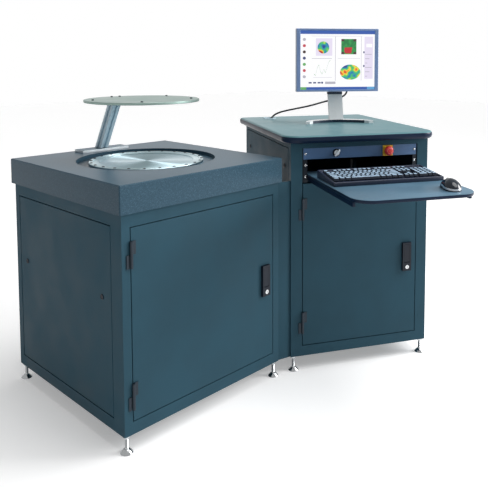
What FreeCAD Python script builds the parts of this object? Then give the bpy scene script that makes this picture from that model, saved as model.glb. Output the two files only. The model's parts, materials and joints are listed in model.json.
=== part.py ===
import FreeCAD, Part
import Sketcher
import math
import os
import re
from FreeCAD import Placement, Rotation, Vector

# Flatness interferometer: a measuring station under a granite plate, joined by a narrow panel to an
# operator console that stands at an angle. All lengths are in millimetres and all angles in degrees.
# The station's own axes start at the granite's front left corner on the floor: x along its front,
# y to its back, z up. The console and the monitor have axes of their own, turned about z.

SIZES = {
    # granite plate and what is cut into it
    "granite_width": 710, "granite_depth": 735, "granite_thick": 92, "granite_top": 850,
    "granite_chamfer": 3, "recess_radius": 255, "recess_depth": 14, "bore_radius": 188,
    # station cabinet
    "cabinet_inset": 11, "cabinet_floor": 58, "pad_thick": 3, "pad_length": 60,
    "post_width": 30, "post_depth": 60, "rail_width": 30, "rail_height": 40, "tube_wall": 2,
    "end_plate": 4, "panel_gap": 3, "panel_depth": 15, "sheet_wall": 1.5,
    "tab_length": 22, "tab_height": 40, "tab_thick": 3, "pan_depth": 20, "pan_lift": 6,
    # doors, with their hinges, latches and locks
    "door_gap": 3, "door_depth": 20,
    "hinge_radius": 5, "pin_radius": 2.5, "knuckle_height": 42, "leaf_width": 16, "leaf_thick": 3,
    "running_fit": 0.05, "rest_gap": 0.3,
    "station_hinge_low": 139, "station_hinge_high": 587,
    "console_hinge_low": 150, "console_hinge_high": 600,
    "latch_offset": 42, "station_latch_z": 397, "console_latch_z": 418,
    "latch_width": 38, "latch_height": 116, "latch_thick": 11,
    "lever_width": 24, "lever_length": 70, "lever_thick": 7, "lever_pocket": 9,
    "trunnion_radius": 2, "trunnion_reach": 5,
    "lock_drop": 42, "lock_radius": 8, "lock_proud": 2, "lock_reach": 29,
    "cam_width": 12, "cam_length": 36, "cam_thick": 3, "keeper_reach": 14, "keeper_thick": 3.5,
    "keeper_height": 34,
    "lock_stud_radius": 9, "lock_stud_head": 2.5, "lock_stud_margin": 52,
    "station_stud_z": 476, "console_stud_z": 802,
    # levelling feet
    "foot_radius": 21, "foot_neck": 11, "foot_height": 12, "foot_stud_radius": 6,
    "nut_radius": 12, "nut_height": 9, "foot_inset": 15,
    # aperture ring, clamp ring and reference plate
    "ring_radius": 211, "ring_height": 10, "ring_step_radius": 195, "ring_step": 5,
    "ring_chamfer": 2, "ring_ledge": 3, "ring_lip": 9, "plate_radius": 180, "plate_thick": 14,
    "clamp_inner_radius": 172, "clamp_height": 3.5,
    # arm and shield disc
    "arm_base_width": 210, "arm_base_depth": 65, "arm_base_thick": 10, "arm_base_back": 22,
    "arm_foot_back": 49, "arm_lean": 29, "arm_size": 36, "slot_width": 9, "slot_depth": 8,
    "disc_radius": 213, "disc_thick": 9, "disc_top": 1073, "disc_set_back": 23.5, "disc_chamfer": 1,
    "disc_screw_circle": 182, "disc_screw_radius": 4.5, "disc_screw_head": 3.5,
    "arm_screw_spread": 18,
    # optics under the granite
    "barrel_flange_radius": 212, "barrel_flange_thick": 8, "barrel_radius": 176, "barrel_wall": 4,
    "lens_drop": 58, "lens_thick": 16, "lens_crown": 8, "lens_ledge": 6,
    "barrel_foot_radius": 74, "barrel_foot_z": 412, "optics_base_width": 220,
    "laser_radius": 24, "laser_length": 130, "camera_width": 64, "camera_length": 80,
    "camera_lens_radius": 22, "camera_lens_length": 24, "laser_z": 300, "camera_z": 260,
    # bridge panel and the console's place
    "bridge_front": 14, "bridge_inset": 6, "bridge_thick": 3,
    "console_gap": 41, "console_y": -6, "console_turn": 30.3,
    # console cabinet and worktop
    "console_width": 584, "console_depth": 732, "console_top": 901, "rack_bay": 492,
    "console_post_depth": 30, "top_rail_height": 21, "mid_rail_height": 40,
    "worktop_thick": 30, "worktop_overhang": 30, "worktop_corner": 65, "worktop_back_corner": 25,
    "worktop_round": 12, "grommet_x": 100, "grommet_y": 668, "grommet_radius": 28,
    "grommet_flange": 4, "grommet_flange_thick": 3, "grommet_wall": 4,
    # nineteen inch rack bay, rails, drawer ears and control panel
    "rack_bottom": 746.6, "rack_unit": 44.45, "rack_units": 3, "rack_width": 482.6,
    "rack_screw_spacing": 465.1, "rack_screw_radius": 5, "rack_screw_head": 3,
    "rail_recess": 5, "rail_sheet": 2, "rail_flange": 20, "rail_web": 30, "ear_width": 15.8,
    "panel_sheet": 3, "control_box_width": 430, "control_box_height": 38,
    "control_box_depth": 150, "control_gap": 1.2,
    "estop_x": 405, "estop_base": 42, "estop_base_thick": 6, "estop_stem_radius": 11,
    "estop_radius": 19, "estop_cap": 13, "estop_travel": 5,
    "selector_x": 186, "selector_radius": 15, "selector_bezel": 7, "selector_hub_radius": 11,
    "selector_hub": 8, "selector_lever": 30, "selector_lever_width": 7, "selector_rest": 40,
    # computer in the console
    "computer_width": 430, "computer_height": 176, "computer_depth": 440, "computer_y": 130,
    "computer_ear_thick": 4,
    # keyboard tray, drawn as it is used, pulled out
    "tray_top": 779, "tray_thick": 12, "tray_width": 448, "tray_reach": 484, "tray_tail": 60,
    "tray_corner": 70,
    "slide_width": 10, "slide_drop": 18, "slide_lap": 4, "slide_length": 553, "slide_nose": 54,
    "slide_gap": 3, "slide_bracket": 30, "slide_bracket_y": 500, "slide_bracket_thick": 8,
    # keyboard
    "keyboard_width": 430, "keyboard_depth": 178, "keyboard_y": 80, "keyboard_front": 15,
    "keyboard_back": 30, "key_pitch": 18.2, "key_gap": 0.9, "key_height": 9, "key_well": 6,
    "key_lift": 3.4, "key_margin": 0.45, "stem_width": 4, "stem_seat": 2,
    # mouse
    "mouse_x": 450, "mouse_y": 396, "mouse_turn": 12, "mouse_length": 112, "mouse_width": 62,
    "mouse_height": 37, "mouse_corner": 27, "wheel_radius": 11, "wheel_width": 7, "wheel_forward": 30,
    "wheel_raise": 22, "wheel_axle": 1.5, "wheel_axle_reach": 3, "wheel_slot_gap": 0.8,
    # monitor, from the middle of its neck's foot
    "monitor_x": 348, "monitor_y": 425, "monitor_turn": 7,
    "stand_thick": 12, "stand_outer_radius": 170, "stand_inner_radius": 185,
    "stand_outer_y": -145, "stand_inner_y": -203, "stand_front_y": -78,
    "neck_width": 66, "neck_thick": 14, "neck_foot_y": -12, "neck_head_y": 20,
    "neck_lean_top": 140, "neck_slim_width": 38,
    "tilt_y": 32, "tilt_z": 284, "tilt_barrel_radius": 11, "tilt_pin_radius": 4,
    "lug_thick": 8, "lug_half": 12,
    "screen_centre_z": 284, "case_width": 379, "case_height": 283, "case_front_y": -32,
    "case_thick": 22, "case_bulge": 18, "bulge_slope": 28, "bezel_thick": 9, "bezel_side": 17,
    "bezel_edge": 9, "screen_thick": 5, "port_x": 61, "port_y": 8, "port_width": 20, "port_depth": 36,
    "port_height": 20, "port_z": 169, "cord_diameter": 8,
}

# The screws on the disc, as angles about its middle, as they stand in use.
DISC_SCREW_ANGLES = (24, 160, 235, 321)

# The monitor cord's route from its port to below the worktop, in the console's axes.
CORD_ROUTE = (
    (411, 437, 1100), (411, 437, 1072), (403, 446, 1052), (385, 458, 1040), (352, 476, 1031),
    (309, 505, 1016), (268, 538, 1000), (226, 576, 987), (184, 612, 975), (148, 640, 964),
    (122, 657, 950), (106, 665, 931), (100, 667, 908), (99, 668, 886),
)
CORD_ARC_SHARE = 0.45

# Keys of each row from left to right: (gap before it in key widths, width in key widths).
KEY_ROWS = (
    ((0, 1.25), (0, 1.25), (0, 1.25), (0, 6.25), (0, 1.25), (0, 1.25), (0, 1.25), (0, 1.25),
     (0.25, 1), (0, 1), (0, 1), (0.25, 2), (0, 1), (0, 1)),
    ((0, 2.25), *((0, 1),) * 10, (0, 2.75), (1.25, 1), (1.25, 1), (0, 1), (0, 1), (0, 1)),
    ((0, 1.75), *((0, 1),) * 11, (0, 2.25), (3.5, 1), (0, 1), (0, 1), (0, 1)),
    ((0, 1.5), *((0, 1),) * 12, (0, 1.5), (0.25, 1), (0, 1), (0, 1), (0.25, 1), (0, 1), (0, 1),
     (0, 1)),
    (*((0, 1),) * 13, (0, 2), (0.25, 1), (0, 1), (0, 1), (0.25, 1), (0, 1), (0, 1), (0, 1)),
    ((0, 1), (1, 1), *((0, 1),) * 3, (0.5, 1), *((0, 1),) * 3, (0.5, 1), *((0, 1),) * 3,
     (0.25, 1), (0, 1), (0, 1)),
)
KEY_COLUMNS = 22.5
KEY_LINES = 6.5

# The mouse's side view from its back end: (share of its length, share of its height).
MOUSE_PROFILE = (
    (-0.5, 0), (0.5, 0), (0.5, 0.36), (0.4, 0.6), (0.24, 0.82), (0.06, 0.96), (-0.12, 1),
    (-0.28, 0.93), (-0.41, 0.7), (-0.48, 0.4),
)

doc = FreeCAD.newDocument("FlatnessInterferometer")
sheet = doc.addObject("Spreadsheet::Sheet", "Sizes")
for row, (alias, value) in enumerate(SIZES.items(), start=1):
    sheet.set(f"A{row}", alias)
    sheet.set(f"B{row}", str(value))
    sheet.setAlias(f"B{row}", alias)
doc.recompute()


def cells(formula):
    """The formula with each size's name written as its cell in the sheet."""
    return re.sub(r"[a-z_]+", lambda m: f"Sizes.{m[0]}" if m[0] in SIZES else m[0], str(formula))


def value_of(formula):
    """The number that a formula gives, for the few shapes that are made straight from numbers."""
    total = doc.addObject("App::FeaturePython", "Reading")
    total.addProperty("App::PropertyFloat", "Result")
    total.setExpression("Result", cells(formula))
    doc.recompute([total])
    result = total.Result
    doc.removeObject(total.Name)
    return result


def bind(thing, **formulas):
    """Ties properties of an object to formulas over the sheet."""
    for name, formula in formulas.items():
        thing.setExpression(name, cells(formula))
    return thing


def move(thing, x, y, z):
    """Ties an object's place to formulas."""
    for axis, formula in zip("xyz", (x, y, z)):
        thing.setExpression(f"Placement.Base.{axis}", cells(formula))
    return thing


def spin(thing, angle, axis=(0, 0, 1)):
    """Ties an object's turn about an axis to a formula."""
    thing.Placement = Placement(thing.Placement.Base, Rotation(Vector(*axis), 0))
    thing.setExpression("Placement.Rotation.Angle", cells(angle))
    return thing


def block(x, y, z, length, width, height):
    """A box from its lowest corner."""
    box = doc.addObject("Part::Box", "Block")
    bind(box, Length=length, Width=width, Height=height)
    return move(box, x, y, z)


def rod(x, y, z, radius, length, along="z"):
    """A round bar that starts at a point and runs along an axis."""
    bar = doc.addObject("Part::Cylinder", "Rod")
    bind(bar, Radius=radius, Height=length)
    turns = {"x": ((0, 1, 0), 90), "y": ((1, 0, 0), -90), "z": ((0, 0, 1), 0)}
    axis, angle = turns[along]
    bar.Placement = Placement(Vector(), Rotation(Vector(*axis), angle))
    return move(bar, x, y, z)


def group(*things):
    """Separate solids held as one object."""
    bundle = doc.addObject("Part::Compound", "Group")
    bundle.Links = list(things)
    return bundle


def fuse(*things):
    """Solids welded into one."""
    weld = doc.addObject("Part::MultiFuse", "Weld")
    weld.Shapes = list(things)
    return weld


def cut(base, *tools):
    """A solid with other solids taken out of it."""
    result = doc.addObject("Part::Cut", "Cut")
    result.Base = base
    result.Tool = tools[0] if len(tools) == 1 else group(*tools)
    return result


def common(base, tool):
    """What two solids share."""
    result = doc.addObject("Part::Common", "Common")
    result.Base = base
    result.Tool = tool
    return result


def own_plane(body, role):
    """One of a body's own origin planes."""
    return next(part for part in body.Origin.OriginFeatures if part.Role == role)


def new_sketch(body, role, start):
    """An empty sketch on one of the body's planes, moved along the plane's normal."""
    sketch = body.newObject("Sketcher::SketchObject", "Sketch")
    sketch.AttachmentSupport = [(own_plane(body, role), "")]
    sketch.MapMode = "FlatFace"
    sketch.setExpression("AttachmentOffset.Base.z", cells(start))
    return sketch


def outline(body, points, role="XY_Plane", start="0"):
    """A closed outline whose corners are pairs of formulas."""
    sketch = new_sketch(body, role, start)
    corners = [Vector(value_of(across), value_of(up), 0) for across, up in points]
    count = len(corners)
    for here in range(count):
        sketch.addGeometry(Part.LineSegment(corners[here], corners[(here + 1) % count]), False)
    for here in range(count):
        sketch.addConstraint(Sketcher.Constraint("Coincident", here, 2, (here + 1) % count, 1))
    for here, (across, up) in enumerate(points):
        for kind, formula, number in (("DistanceX", across, corners[here].x),
                                      ("DistanceY", up, corners[here].y)):
            rule = sketch.addConstraint(Sketcher.Constraint(kind, -1, 1, here, 1, number))
            sketch.setExpression(f"Constraints[{rule}]", cells(formula))
    return sketch


def circle(body, x, y, radius, start="0"):
    """A round outline on the body's ground plane."""
    sketch = new_sketch(body, "XY_Plane", start)
    middle = Vector(value_of(x), value_of(y), 0)
    size = value_of(radius)
    sketch.addGeometry(Part.Circle(middle, Vector(0, 0, 1), size), False)
    rules = (("DistanceX", x, middle.x), ("DistanceY", y, middle.y))
    for kind, formula, number in rules:
        rule = sketch.addConstraint(Sketcher.Constraint(kind, -1, 1, 0, 3, number))
        sketch.setExpression(f"Constraints[{rule}]", cells(formula))
    rule = sketch.addConstraint(Sketcher.Constraint("Radius", 0, size))
    sketch.setExpression(f"Constraints[{rule}]", cells(radius))
    return sketch


def new_body():
    return doc.addObject("PartDesign::Body", "Body")


def pad(body, sketch, length, reverse=False):
    """The outline thickened into a solid."""
    feature = body.newObject("PartDesign::Pad", "Pad")
    feature.Profile = sketch
    feature.Reversed = reverse
    return bind(feature, Length=length)


def pocket(body, sketch, depth):
    """The outline sunk into the solid, from its own plane downwards."""
    feature = body.newObject("PartDesign::Pocket", "Pocket")
    feature.Profile = sketch
    return bind(feature, Length=depth)


def turned(points):
    """A body turned about its z axis from pairs of radius and height."""
    body = new_body()
    sketch = outline(body, points, "XZ_Plane")
    feature = body.newObject("PartDesign::Revolution", "Revolution")
    feature.Profile = sketch
    feature.ReferenceAxis = (sketch, ["V_Axis"])
    feature.Angle = 360
    return body


def soften(body, kind, wanted, size):
    """A fillet or a chamfer on the edges of the body that a test picks."""
    doc.recompute()
    base = body.Tip
    names = [f"Edge{n}" for n, edge in enumerate(base.Shape.Edges, start=1) if wanted(edge)]
    feature = body.newObject(f"PartDesign::{kind}", kind)
    feature.Base = (base, names)
    bind(feature, **{"Radius" if kind == "Fillet" else "Size": size})
    return feature


def upright(edge):
    """Whether an edge runs straight up."""
    ends = [vertex.Point for vertex in edge.Vertexes]
    return len(ends) == 2 and (ends[0] - ends[1]).cross(Vector(0, 0, 1)).Length < 0.001


def level_at(height):
    """A test for edges that lie at one height."""
    return lambda edge: all(abs(point.Z - height) < 0.001 for point in edge.Vertexes)


def prism(points, length, role="XY_Plane", start="0"):
    """A body padded from an outline; on the front plane it grows backwards."""
    body = new_body()
    from_plane = f"-({start})" if role == "XZ_Plane" else start
    pad(body, outline(body, points, role, from_plane), length, reverse=role == "XZ_Plane")
    return body


# Places of the station, its optical axis, the disc, the console and the monitor. The origin of the
# whole part is on the floor in the middle of its outline, which runs from the granite's left side to
# the worktop's right back corner, and from the tray's front right corner to the granite's back.
CONSOLE_X = "(granite_width + console_gap)"
CONSOLE_POST = "((console_width - rack_bay)/2)"
DISC_Y = "(granite_depth/2 + disc_set_back)"
CONSOLE_SIN = "sin(console_turn)"
CONSOLE_COS = "cos(console_turn)"
RIGHT_REACH = (
    f"({CONSOLE_X} + worktop_back_corner"
    f" + (console_width + worktop_overhang - worktop_back_corner)*{CONSOLE_COS}"
    f" + (console_depth + worktop_overhang - worktop_back_corner)*{CONSOLE_SIN})"
)
TRAY_RIGHT = "(console_width/2 + tray_width/2)"
FRONT_REACH = (
    f"(console_y - tray_corner - ({TRAY_RIGHT} - tray_corner)*{CONSOLE_SIN}"
    f" - (tray_reach - tray_corner)*{CONSOLE_COS})"
)
ORIGIN_X = f"({RIGHT_REACH}/2)"
ORIGIN_Y = f"((granite_depth + {FRONT_REACH})/2)"


def console_point(x, y):
    """A point of the console's axes, in the station's axes."""
    return (f"({CONSOLE_X} + ({x})*{CONSOLE_COS} + ({y})*{CONSOLE_SIN})",
            f"(console_y - ({x})*{CONSOLE_SIN} + ({y})*{CONSOLE_COS})")


def monitor_point(x, y):
    """A point of the monitor's axes, in the station's axes."""
    return console_point(f"monitor_x + ({x})*cos(monitor_turn) + ({y})*sin(monitor_turn)",
                         f"monitor_y - ({x})*sin(monitor_turn) + ({y})*cos(monitor_turn)")


FRAMES = {
    "station": (("0", "0"), "0", "0"),
    "axis": (("granite_width/2", "granite_depth/2"), "0", "0"),
    "disc": (("granite_width/2", DISC_Y), "0", "0"),
    "console": (console_point("0", "0"), "0", "-console_turn"),
    "grommet": (console_point("grommet_x", "grommet_y"), "0", "-console_turn"),
    "mouse": (console_point("mouse_x", "-mouse_y"), "tray_top", "-console_turn - mouse_turn"),
    "monitor": (monitor_point("0", "0"), "console_top + worktop_thick",
                "-console_turn - monitor_turn"),
}
PRIMITIVES = ("Part::Box", "Part::Cylinder", "Part::Cone", "Part::Prism")
pieces = []


def in_frame(frame, *things):
    """The things as one object, moved from a frame's own axes to the part's."""
    bare = len(things) == 1 and things[0].TypeId not in PRIMITIVES
    whole = things[0] if bare else group(*things)
    (x, y), z, angle = FRAMES[frame]
    spin(whole, angle)
    return move(whole, f"{x} - {ORIGIN_X}", f"{y} - {ORIGIN_Y}", z)


def piece(label, frame, *things):
    """One sub-part, named and in its place."""
    whole = in_frame(frame, *things) if frame else group(*things)
    whole.Label = label
    pieces.append(whole)
    return whole


# Cabinets: welded square tubes, closed by a plate at each post's foot, with tabs for the panels.
def tube(x, y, z, length, width, height, along):
    """A hollow tube; a post has a plate at its foot, a rail is open at both ends."""
    core = {
        "x": (x, f"{y} + tube_wall", f"{z} + tube_wall",
              length, f"{width} - 2*tube_wall", f"{height} - 2*tube_wall"),
        "y": (f"{x} + tube_wall", y, f"{z} + tube_wall",
              f"{length} - 2*tube_wall", width, f"{height} - 2*tube_wall"),
        "z": (f"{x} + tube_wall", f"{y} + tube_wall", f"{z} + end_plate",
              f"{length} - 2*tube_wall", f"{width} - 2*tube_wall", f"{height} - end_plate"),
    }
    return cut(block(x, y, z, length, width, height), block(*core[along]))


class Cabinet:
    """The outer box of a cabinet and the formulas that its frame, panels and door share."""

    def __init__(self, frame, x, y, width, depth, top, post, post_depth, top_rail, door_top):
        self.frame = frame
        self.left, self.front = x, y
        self.right, self.back = f"({x} + {width})", f"({y} + {depth})"
        self.width, self.depth = width, depth
        self.top = top
        self.post, self.post_depth = post, post_depth
        self.top_rail = top_rail
        self.low = "(cabinet_floor + rail_height + panel_gap)"
        self.high = f"({top} - {top_rail} - panel_gap)"
        self.side_front = f"({y} + {post_depth} + panel_gap)"
        self.side_length = f"({depth} - {post_depth} - rail_width - 2*panel_gap)"
        self.back_left = f"({x} + rail_width + panel_gap)"
        self.back_width = f"({width} - 2*rail_width - 2*panel_gap)"
        self.door_left = f"({x} + {post} + door_gap)"
        self.door_width = f"({width} - 2*{post} - 2*door_gap)"
        self.door_right = f"({self.door_left} + {self.door_width})"
        self.door_top = door_top
        self.hinge_x = f"({self.door_left} - door_gap/2)"
        self.hinge_y = f"({y} - hinge_radius - rest_gap)"
        self.latch_x = f"({self.door_right} - latch_offset)"

    def tubes(self):
        """Four posts and two rings of rails."""
        height = f"({self.top} - cabinet_floor)"
        front_post = ("z", self.post, self.post_depth)
        back_post = ("z", "rail_width", "rail_width")
        posts = (
            (self.left, self.front, front_post),
            (f"{self.right} - {self.post}", self.front, front_post),
            (self.left, f"{self.back} - rail_width", back_post),
            (f"{self.right} - rail_width", f"{self.back} - rail_width", back_post),
        )
        bars = [tube(x, y, "cabinet_floor", length, width, height, along)
                for x, y, (along, length, width) in posts]
        levels = (("cabinet_floor", "rail_height"),
                  (f"{self.top} - {self.top_rail}", self.top_rail))
        for z, tall in levels:
            bars.append(tube(f"{self.left} + {self.post}", self.front, z,
                             f"{self.width} - 2*{self.post}", "rail_width", tall, "x"))
            bars.append(tube(f"{self.left} + rail_width", f"{self.back} - rail_width", z,
                             f"{self.width} - 2*rail_width", "rail_width", tall, "x"))
            for x in (self.left, f"{self.right} - rail_width"):
                bars.append(tube(x, f"{self.front} + {self.post_depth}", z, "rail_width",
                                 f"{self.depth} - {self.post_depth} - rail_width", tall, "y"))
        return bars

    def tabs(self):
        """Tabs behind the side and back panels, on the posts."""
        tabs = []
        rows = (f"{self.low} + tab_height", f"{self.high} - 2*tab_height")
        for z in rows:
            for x in (f"{self.left} + panel_depth", f"{self.right} - panel_depth - tab_thick"):
                for y in (f"{self.front} + {self.post_depth}",
                          f"{self.back} - rail_width - tab_length"):
                    tabs.append(block(x, y, z, "tab_thick", "tab_length", "tab_height"))
            for x in (f"{self.left} + rail_width", f"{self.right} - rail_width - tab_length"):
                tabs.append(block(x, f"{self.back} - panel_depth - tab_thick", z,
                                  "tab_length", "tab_thick", "tab_height"))
        return tabs

    def folded_sheet(self, x, y, z, length, width, height, open_to):
        """A sheet with its four edges folded over, open to one side."""
        inner = {"x": f"{x} + sheet_wall", "y": f"{y} + sheet_wall", "z": f"{z} + sheet_wall",
                 "length": f"{length} - 2*sheet_wall", "width": f"{width} - 2*sheet_wall",
                 "height": f"{height} - 2*sheet_wall"}
        axis, side = open_to[1], open_to[0]
        size_name, size = {"x": ("length", length), "y": ("width", width),
                           "z": ("height", height)}[axis]
        start = {"x": x, "y": y, "z": z}[axis]
        inner[size_name] = f"{size} - sheet_wall"
        inner[axis] = start if side == "-" else f"{start} + sheet_wall"
        return cut(block(x, y, z, length, width, height), block(*inner.values()))

    def side_panel(self, side):
        """The left or right panel."""
        x = self.left if side == "left" else f"{self.right} - panel_depth"
        return self.folded_sheet(x, self.side_front, self.low, "panel_depth", self.side_length,
                                 f"({self.high} - {self.low})", "+x" if side == "left" else "-x")

    def back_panel(self):
        return self.folded_sheet(self.back_left, f"{self.back} - panel_depth", self.low,
                                 self.back_width, "panel_depth", f"({self.high} - {self.low})", "-y")

    def floor_pan(self):
        """The floor sheet with its edges turned up, between the side rails."""
        return self.folded_sheet(f"{self.left} + rail_width", f"{self.front} + {self.post_depth}",
                                 "cabinet_floor + pan_lift", f"({self.width} - 2*rail_width)",
                                 f"({self.depth} - {self.post_depth} - rail_width)",
                                 "pan_depth", "+z")

    def door(self, latch_z):
        """The door sheet, folded inwards, with the lock's hole."""
        sheet_metal = self.folded_sheet(self.door_left, self.front, self.low, self.door_width,
                                        "door_depth", f"({self.door_top} - {self.low})", "+y")
        hole = rod(self.latch_x, self.front, f"{latch_z} - lock_drop",
                   "lock_radius + running_fit", "door_depth", "y")
        return cut(sheet_metal, hole)

    def hinge_pins(self, heights):
        """The frame's half of each hinge: leaf, lower knuckle and pin."""
        halves = []
        for z in heights:
            halves.append(fuse(
                rod(self.hinge_x, self.hinge_y, z, "hinge_radius", "knuckle_height"),
                rod(self.hinge_x, self.hinge_y, z, "pin_radius", "2*knuckle_height - leaf_thick"),
                block(f"{self.hinge_x} - leaf_width", f"{self.front} - leaf_thick", z,
                      "leaf_width", "leaf_thick", "knuckle_height")))
        return halves

    def hinge_barrels(self, heights):
        """The door's half of each hinge: leaf and upper knuckle, lifted onto the pin."""
        halves = []
        for z in heights:
            foot = f"({z} + knuckle_height + rest_gap)"
            half = fuse(rod(self.hinge_x, self.hinge_y, foot, "hinge_radius", "knuckle_height"),
                        block(self.hinge_x, f"{self.front} - leaf_thick", foot,
                              "leaf_width + door_gap/2", "leaf_thick", "knuckle_height"))
            halves.append(cut(half, rod(self.hinge_x, self.hinge_y, foot,
                                        "pin_radius + running_fit", "knuckle_height")))
        return halves

    def latch_body(self, z):
        """The latch's housing on the door: pocket for the lever, bores for pivot and lock."""
        pivot = self.lever_pivot(z)
        housing = block(f"{self.latch_x} - latch_width/2", f"{self.front} - latch_thick",
                        f"{z} - latch_height/2", "latch_width", "latch_thick", "latch_height")
        hollow = block(f"{self.latch_x} - lever_width/2 - rest_gap",
                       f"{self.front} - latch_thick",
                       f"{pivot} - lever_thick/2 - 2*rest_gap", "lever_width + 2*rest_gap",
                       "lever_pocket", "lever_length + lever_thick/2 + 4*rest_gap")
        bore = rod(f"{self.latch_x} - lever_width/2 - trunnion_reach", self.lever_y(), pivot,
                   "trunnion_radius + running_fit", "lever_width + 2*trunnion_reach", "x")
        lock_bore = rod(self.latch_x, f"{self.front} - latch_thick", f"{z} - lock_drop",
                        "lock_radius + running_fit", "latch_thick", "y")
        return cut(housing, hollow, bore, lock_bore)

    def lever_pivot(self, z):
        return f"({z} - lock_drop + lock_radius + 2*lever_thick)"

    def lever_y(self):
        return f"({self.front} - latch_thick + lever_thick/2 + rest_gap)"

    def latch_lever(self, z):
        """The lift-out lever with its two trunnions."""
        pivot = self.lever_pivot(z)
        return fuse(
            block(f"{self.latch_x} - lever_width/2", f"{self.lever_y()} - lever_thick/2", pivot,
                  "lever_width", "lever_thick", "lever_length"),
            rod(f"{self.latch_x} - lever_width/2", self.lever_y(), pivot, "lever_thick/2",
                "lever_width", "x"),
            rod(f"{self.latch_x} - lever_width/2 - trunnion_reach + rest_gap", self.lever_y(),
                pivot, "trunnion_radius", "lever_width + 2*trunnion_reach - 2*rest_gap", "x"))

    def lock_cylinder(self, z):
        """The key cylinder, with the cam behind the door hanging unlocked."""
        axis = f"({z} - lock_drop)"
        return fuse(
            rod(self.latch_x, f"{self.front} - latch_thick - lock_proud", axis, "lock_radius",
                "latch_thick + lock_proud + lock_reach", "y"),
            block(f"{self.latch_x} - cam_width/2", f"{self.front} + lock_reach - cam_thick",
                  f"{axis} - cam_length", "cam_width", "cam_thick", "cam_length"))

    def keeper(self, z):
        """The plate on the post that the cam turns behind."""
        return block(f"{self.right} - {self.post} - keeper_reach",
                     f"{self.front} + door_depth + sheet_wall", f"{z} - lock_drop - keeper_height/2",
                     "keeper_reach", "keeper_thick", "keeper_height")

    def feet(self):
        """A levelling foot under each post: swivel pad, stud and lock nut."""
        feet = []
        for x in (f"{self.left} + foot_inset", f"{self.right} - foot_inset"):
            for y in (f"{self.front} + foot_inset", f"{self.back} - foot_inset"):
                base = doc.addObject("Part::Cone", "Pad")
                bind(base, Radius1="foot_radius", Radius2="foot_neck", Height="foot_height")
                nut = doc.addObject("Part::Prism", "Nut")
                nut.Polygon = 6
                bind(nut, Circumradius="nut_radius", Height="nut_height")
                feet.append(fuse(
                    move(base, x, y, "0"),
                    rod(x, y, "foot_height/2", "foot_stud_radius",
                        "cabinet_floor - foot_height/2"),
                    move(nut, x, y, "cabinet_floor - nut_height")))
        return feet

    def panel_locks(self, z):
        """Quarter-turn studs that hold the side panels, one near each edge of a panel."""
        reach = "lock_stud_margin"
        return [rod(x, y, z, "lock_stud_radius", "lock_stud_head", "x")
                for x in (f"{self.left} - lock_stud_head", self.right)
                for y in (f"{self.side_front} + {reach}",
                          f"{self.side_front} + {self.side_length} - {reach}")]


station_top = "(granite_top - granite_thick - pad_thick)"
station = Cabinet("station", "cabinet_inset", "cabinet_inset",
                  "(granite_width - 2*cabinet_inset)", "(granite_depth - 2*cabinet_inset)",
                  station_top, "post_width", "post_depth", "rail_height",
                  f"({station_top} - rail_height - door_gap)")
console = Cabinet("console", "0", "0", "console_width", "console_depth", "console_top",
                  CONSOLE_POST, "console_post_depth", "top_rail_height",
                  "(rack_bottom - panel_gap - sheet_wall)")
STATION_HINGES = ("station_hinge_low", "station_hinge_high")
CONSOLE_HINGES = ("console_hinge_low", "console_hinge_high")
SLIDE_CARRIER_Z = "(rack_bottom - mid_rail_height)"

piece("station_frame", "station", *station.tubes(), *station.tabs())
mid_rail = tube(CONSOLE_POST, "door_depth + panel_gap + sheet_wall", SLIDE_CARRIER_Z,
                "rack_bay", "rail_width", "mid_rail_height", "x")
slide_carriers = [tube(x, "console_post_depth", SLIDE_CARRIER_Z, "rail_width",
                       "console_depth - console_post_depth - rail_width", "mid_rail_height", "y")
                  for x in ("panel_depth", "console_width - rail_width - panel_depth")]
piece("console_frame", "console", *console.tubes(), *console.tabs(), mid_rail, *slide_carriers)

for cabinet in (station, console):
    name = cabinet.frame
    piece(f"{name}_floor_pan", name, cabinet.floor_pan())
    piece(f"{name}_left_panel", name, cabinet.side_panel("left"))
    piece(f"{name}_right_panel", name, cabinet.side_panel("right"))
    piece(f"{name}_back_panel", name, cabinet.back_panel())

CABINET_DETAILS = ((station, "station_latch_z", STATION_HINGES),
                   (console, "console_latch_z", CONSOLE_HINGES))
for cabinet, latch_z, hinges in CABINET_DETAILS:
    name = cabinet.frame
    piece(f"{name}_door", name, cabinet.door(latch_z))
    piece(f"{name}_hinge_barrels", name, *cabinet.hinge_barrels(hinges))
    piece(f"{name}_latch_body", name, cabinet.latch_body(latch_z))
    piece(f"{name}_latch_lever", name, cabinet.latch_lever(latch_z))
    piece(f"{name}_lock_cylinder", name, cabinet.lock_cylinder(latch_z))

piece("hinge_pins", None, *(in_frame(cabinet.frame, *cabinet.hinge_pins(hinges))
                            for cabinet, latch_z, hinges in CABINET_DETAILS))
piece("door_keepers", None, *(in_frame(cabinet.frame, cabinet.keeper(latch_z))
                              for cabinet, latch_z, hinges in CABINET_DETAILS))
piece("levelling_feet", None, *(in_frame(cabinet.frame, *cabinet.feet())
                                for cabinet in (station, console)))
piece("panel_locks", None, *(in_frame(cabinet.frame, *cabinet.panel_locks(z))
                             for cabinet, z in ((station, "station_stud_z"),
                                                (console, "console_stud_z"))))

# Granite plate with a stepped bore, on thin pads over the side rails.
granite_bottom = "(granite_top - granite_thick)"
pad_rows = (f"{station.front} + post_depth", f"{station.back} - rail_width - pad_length")
piece("granite_pads", "station", *(
    block(x, y, station_top, "rail_width", "pad_length", "pad_thick")
    for x in (station.left, f"{station.right} - rail_width") for y in pad_rows))

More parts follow.
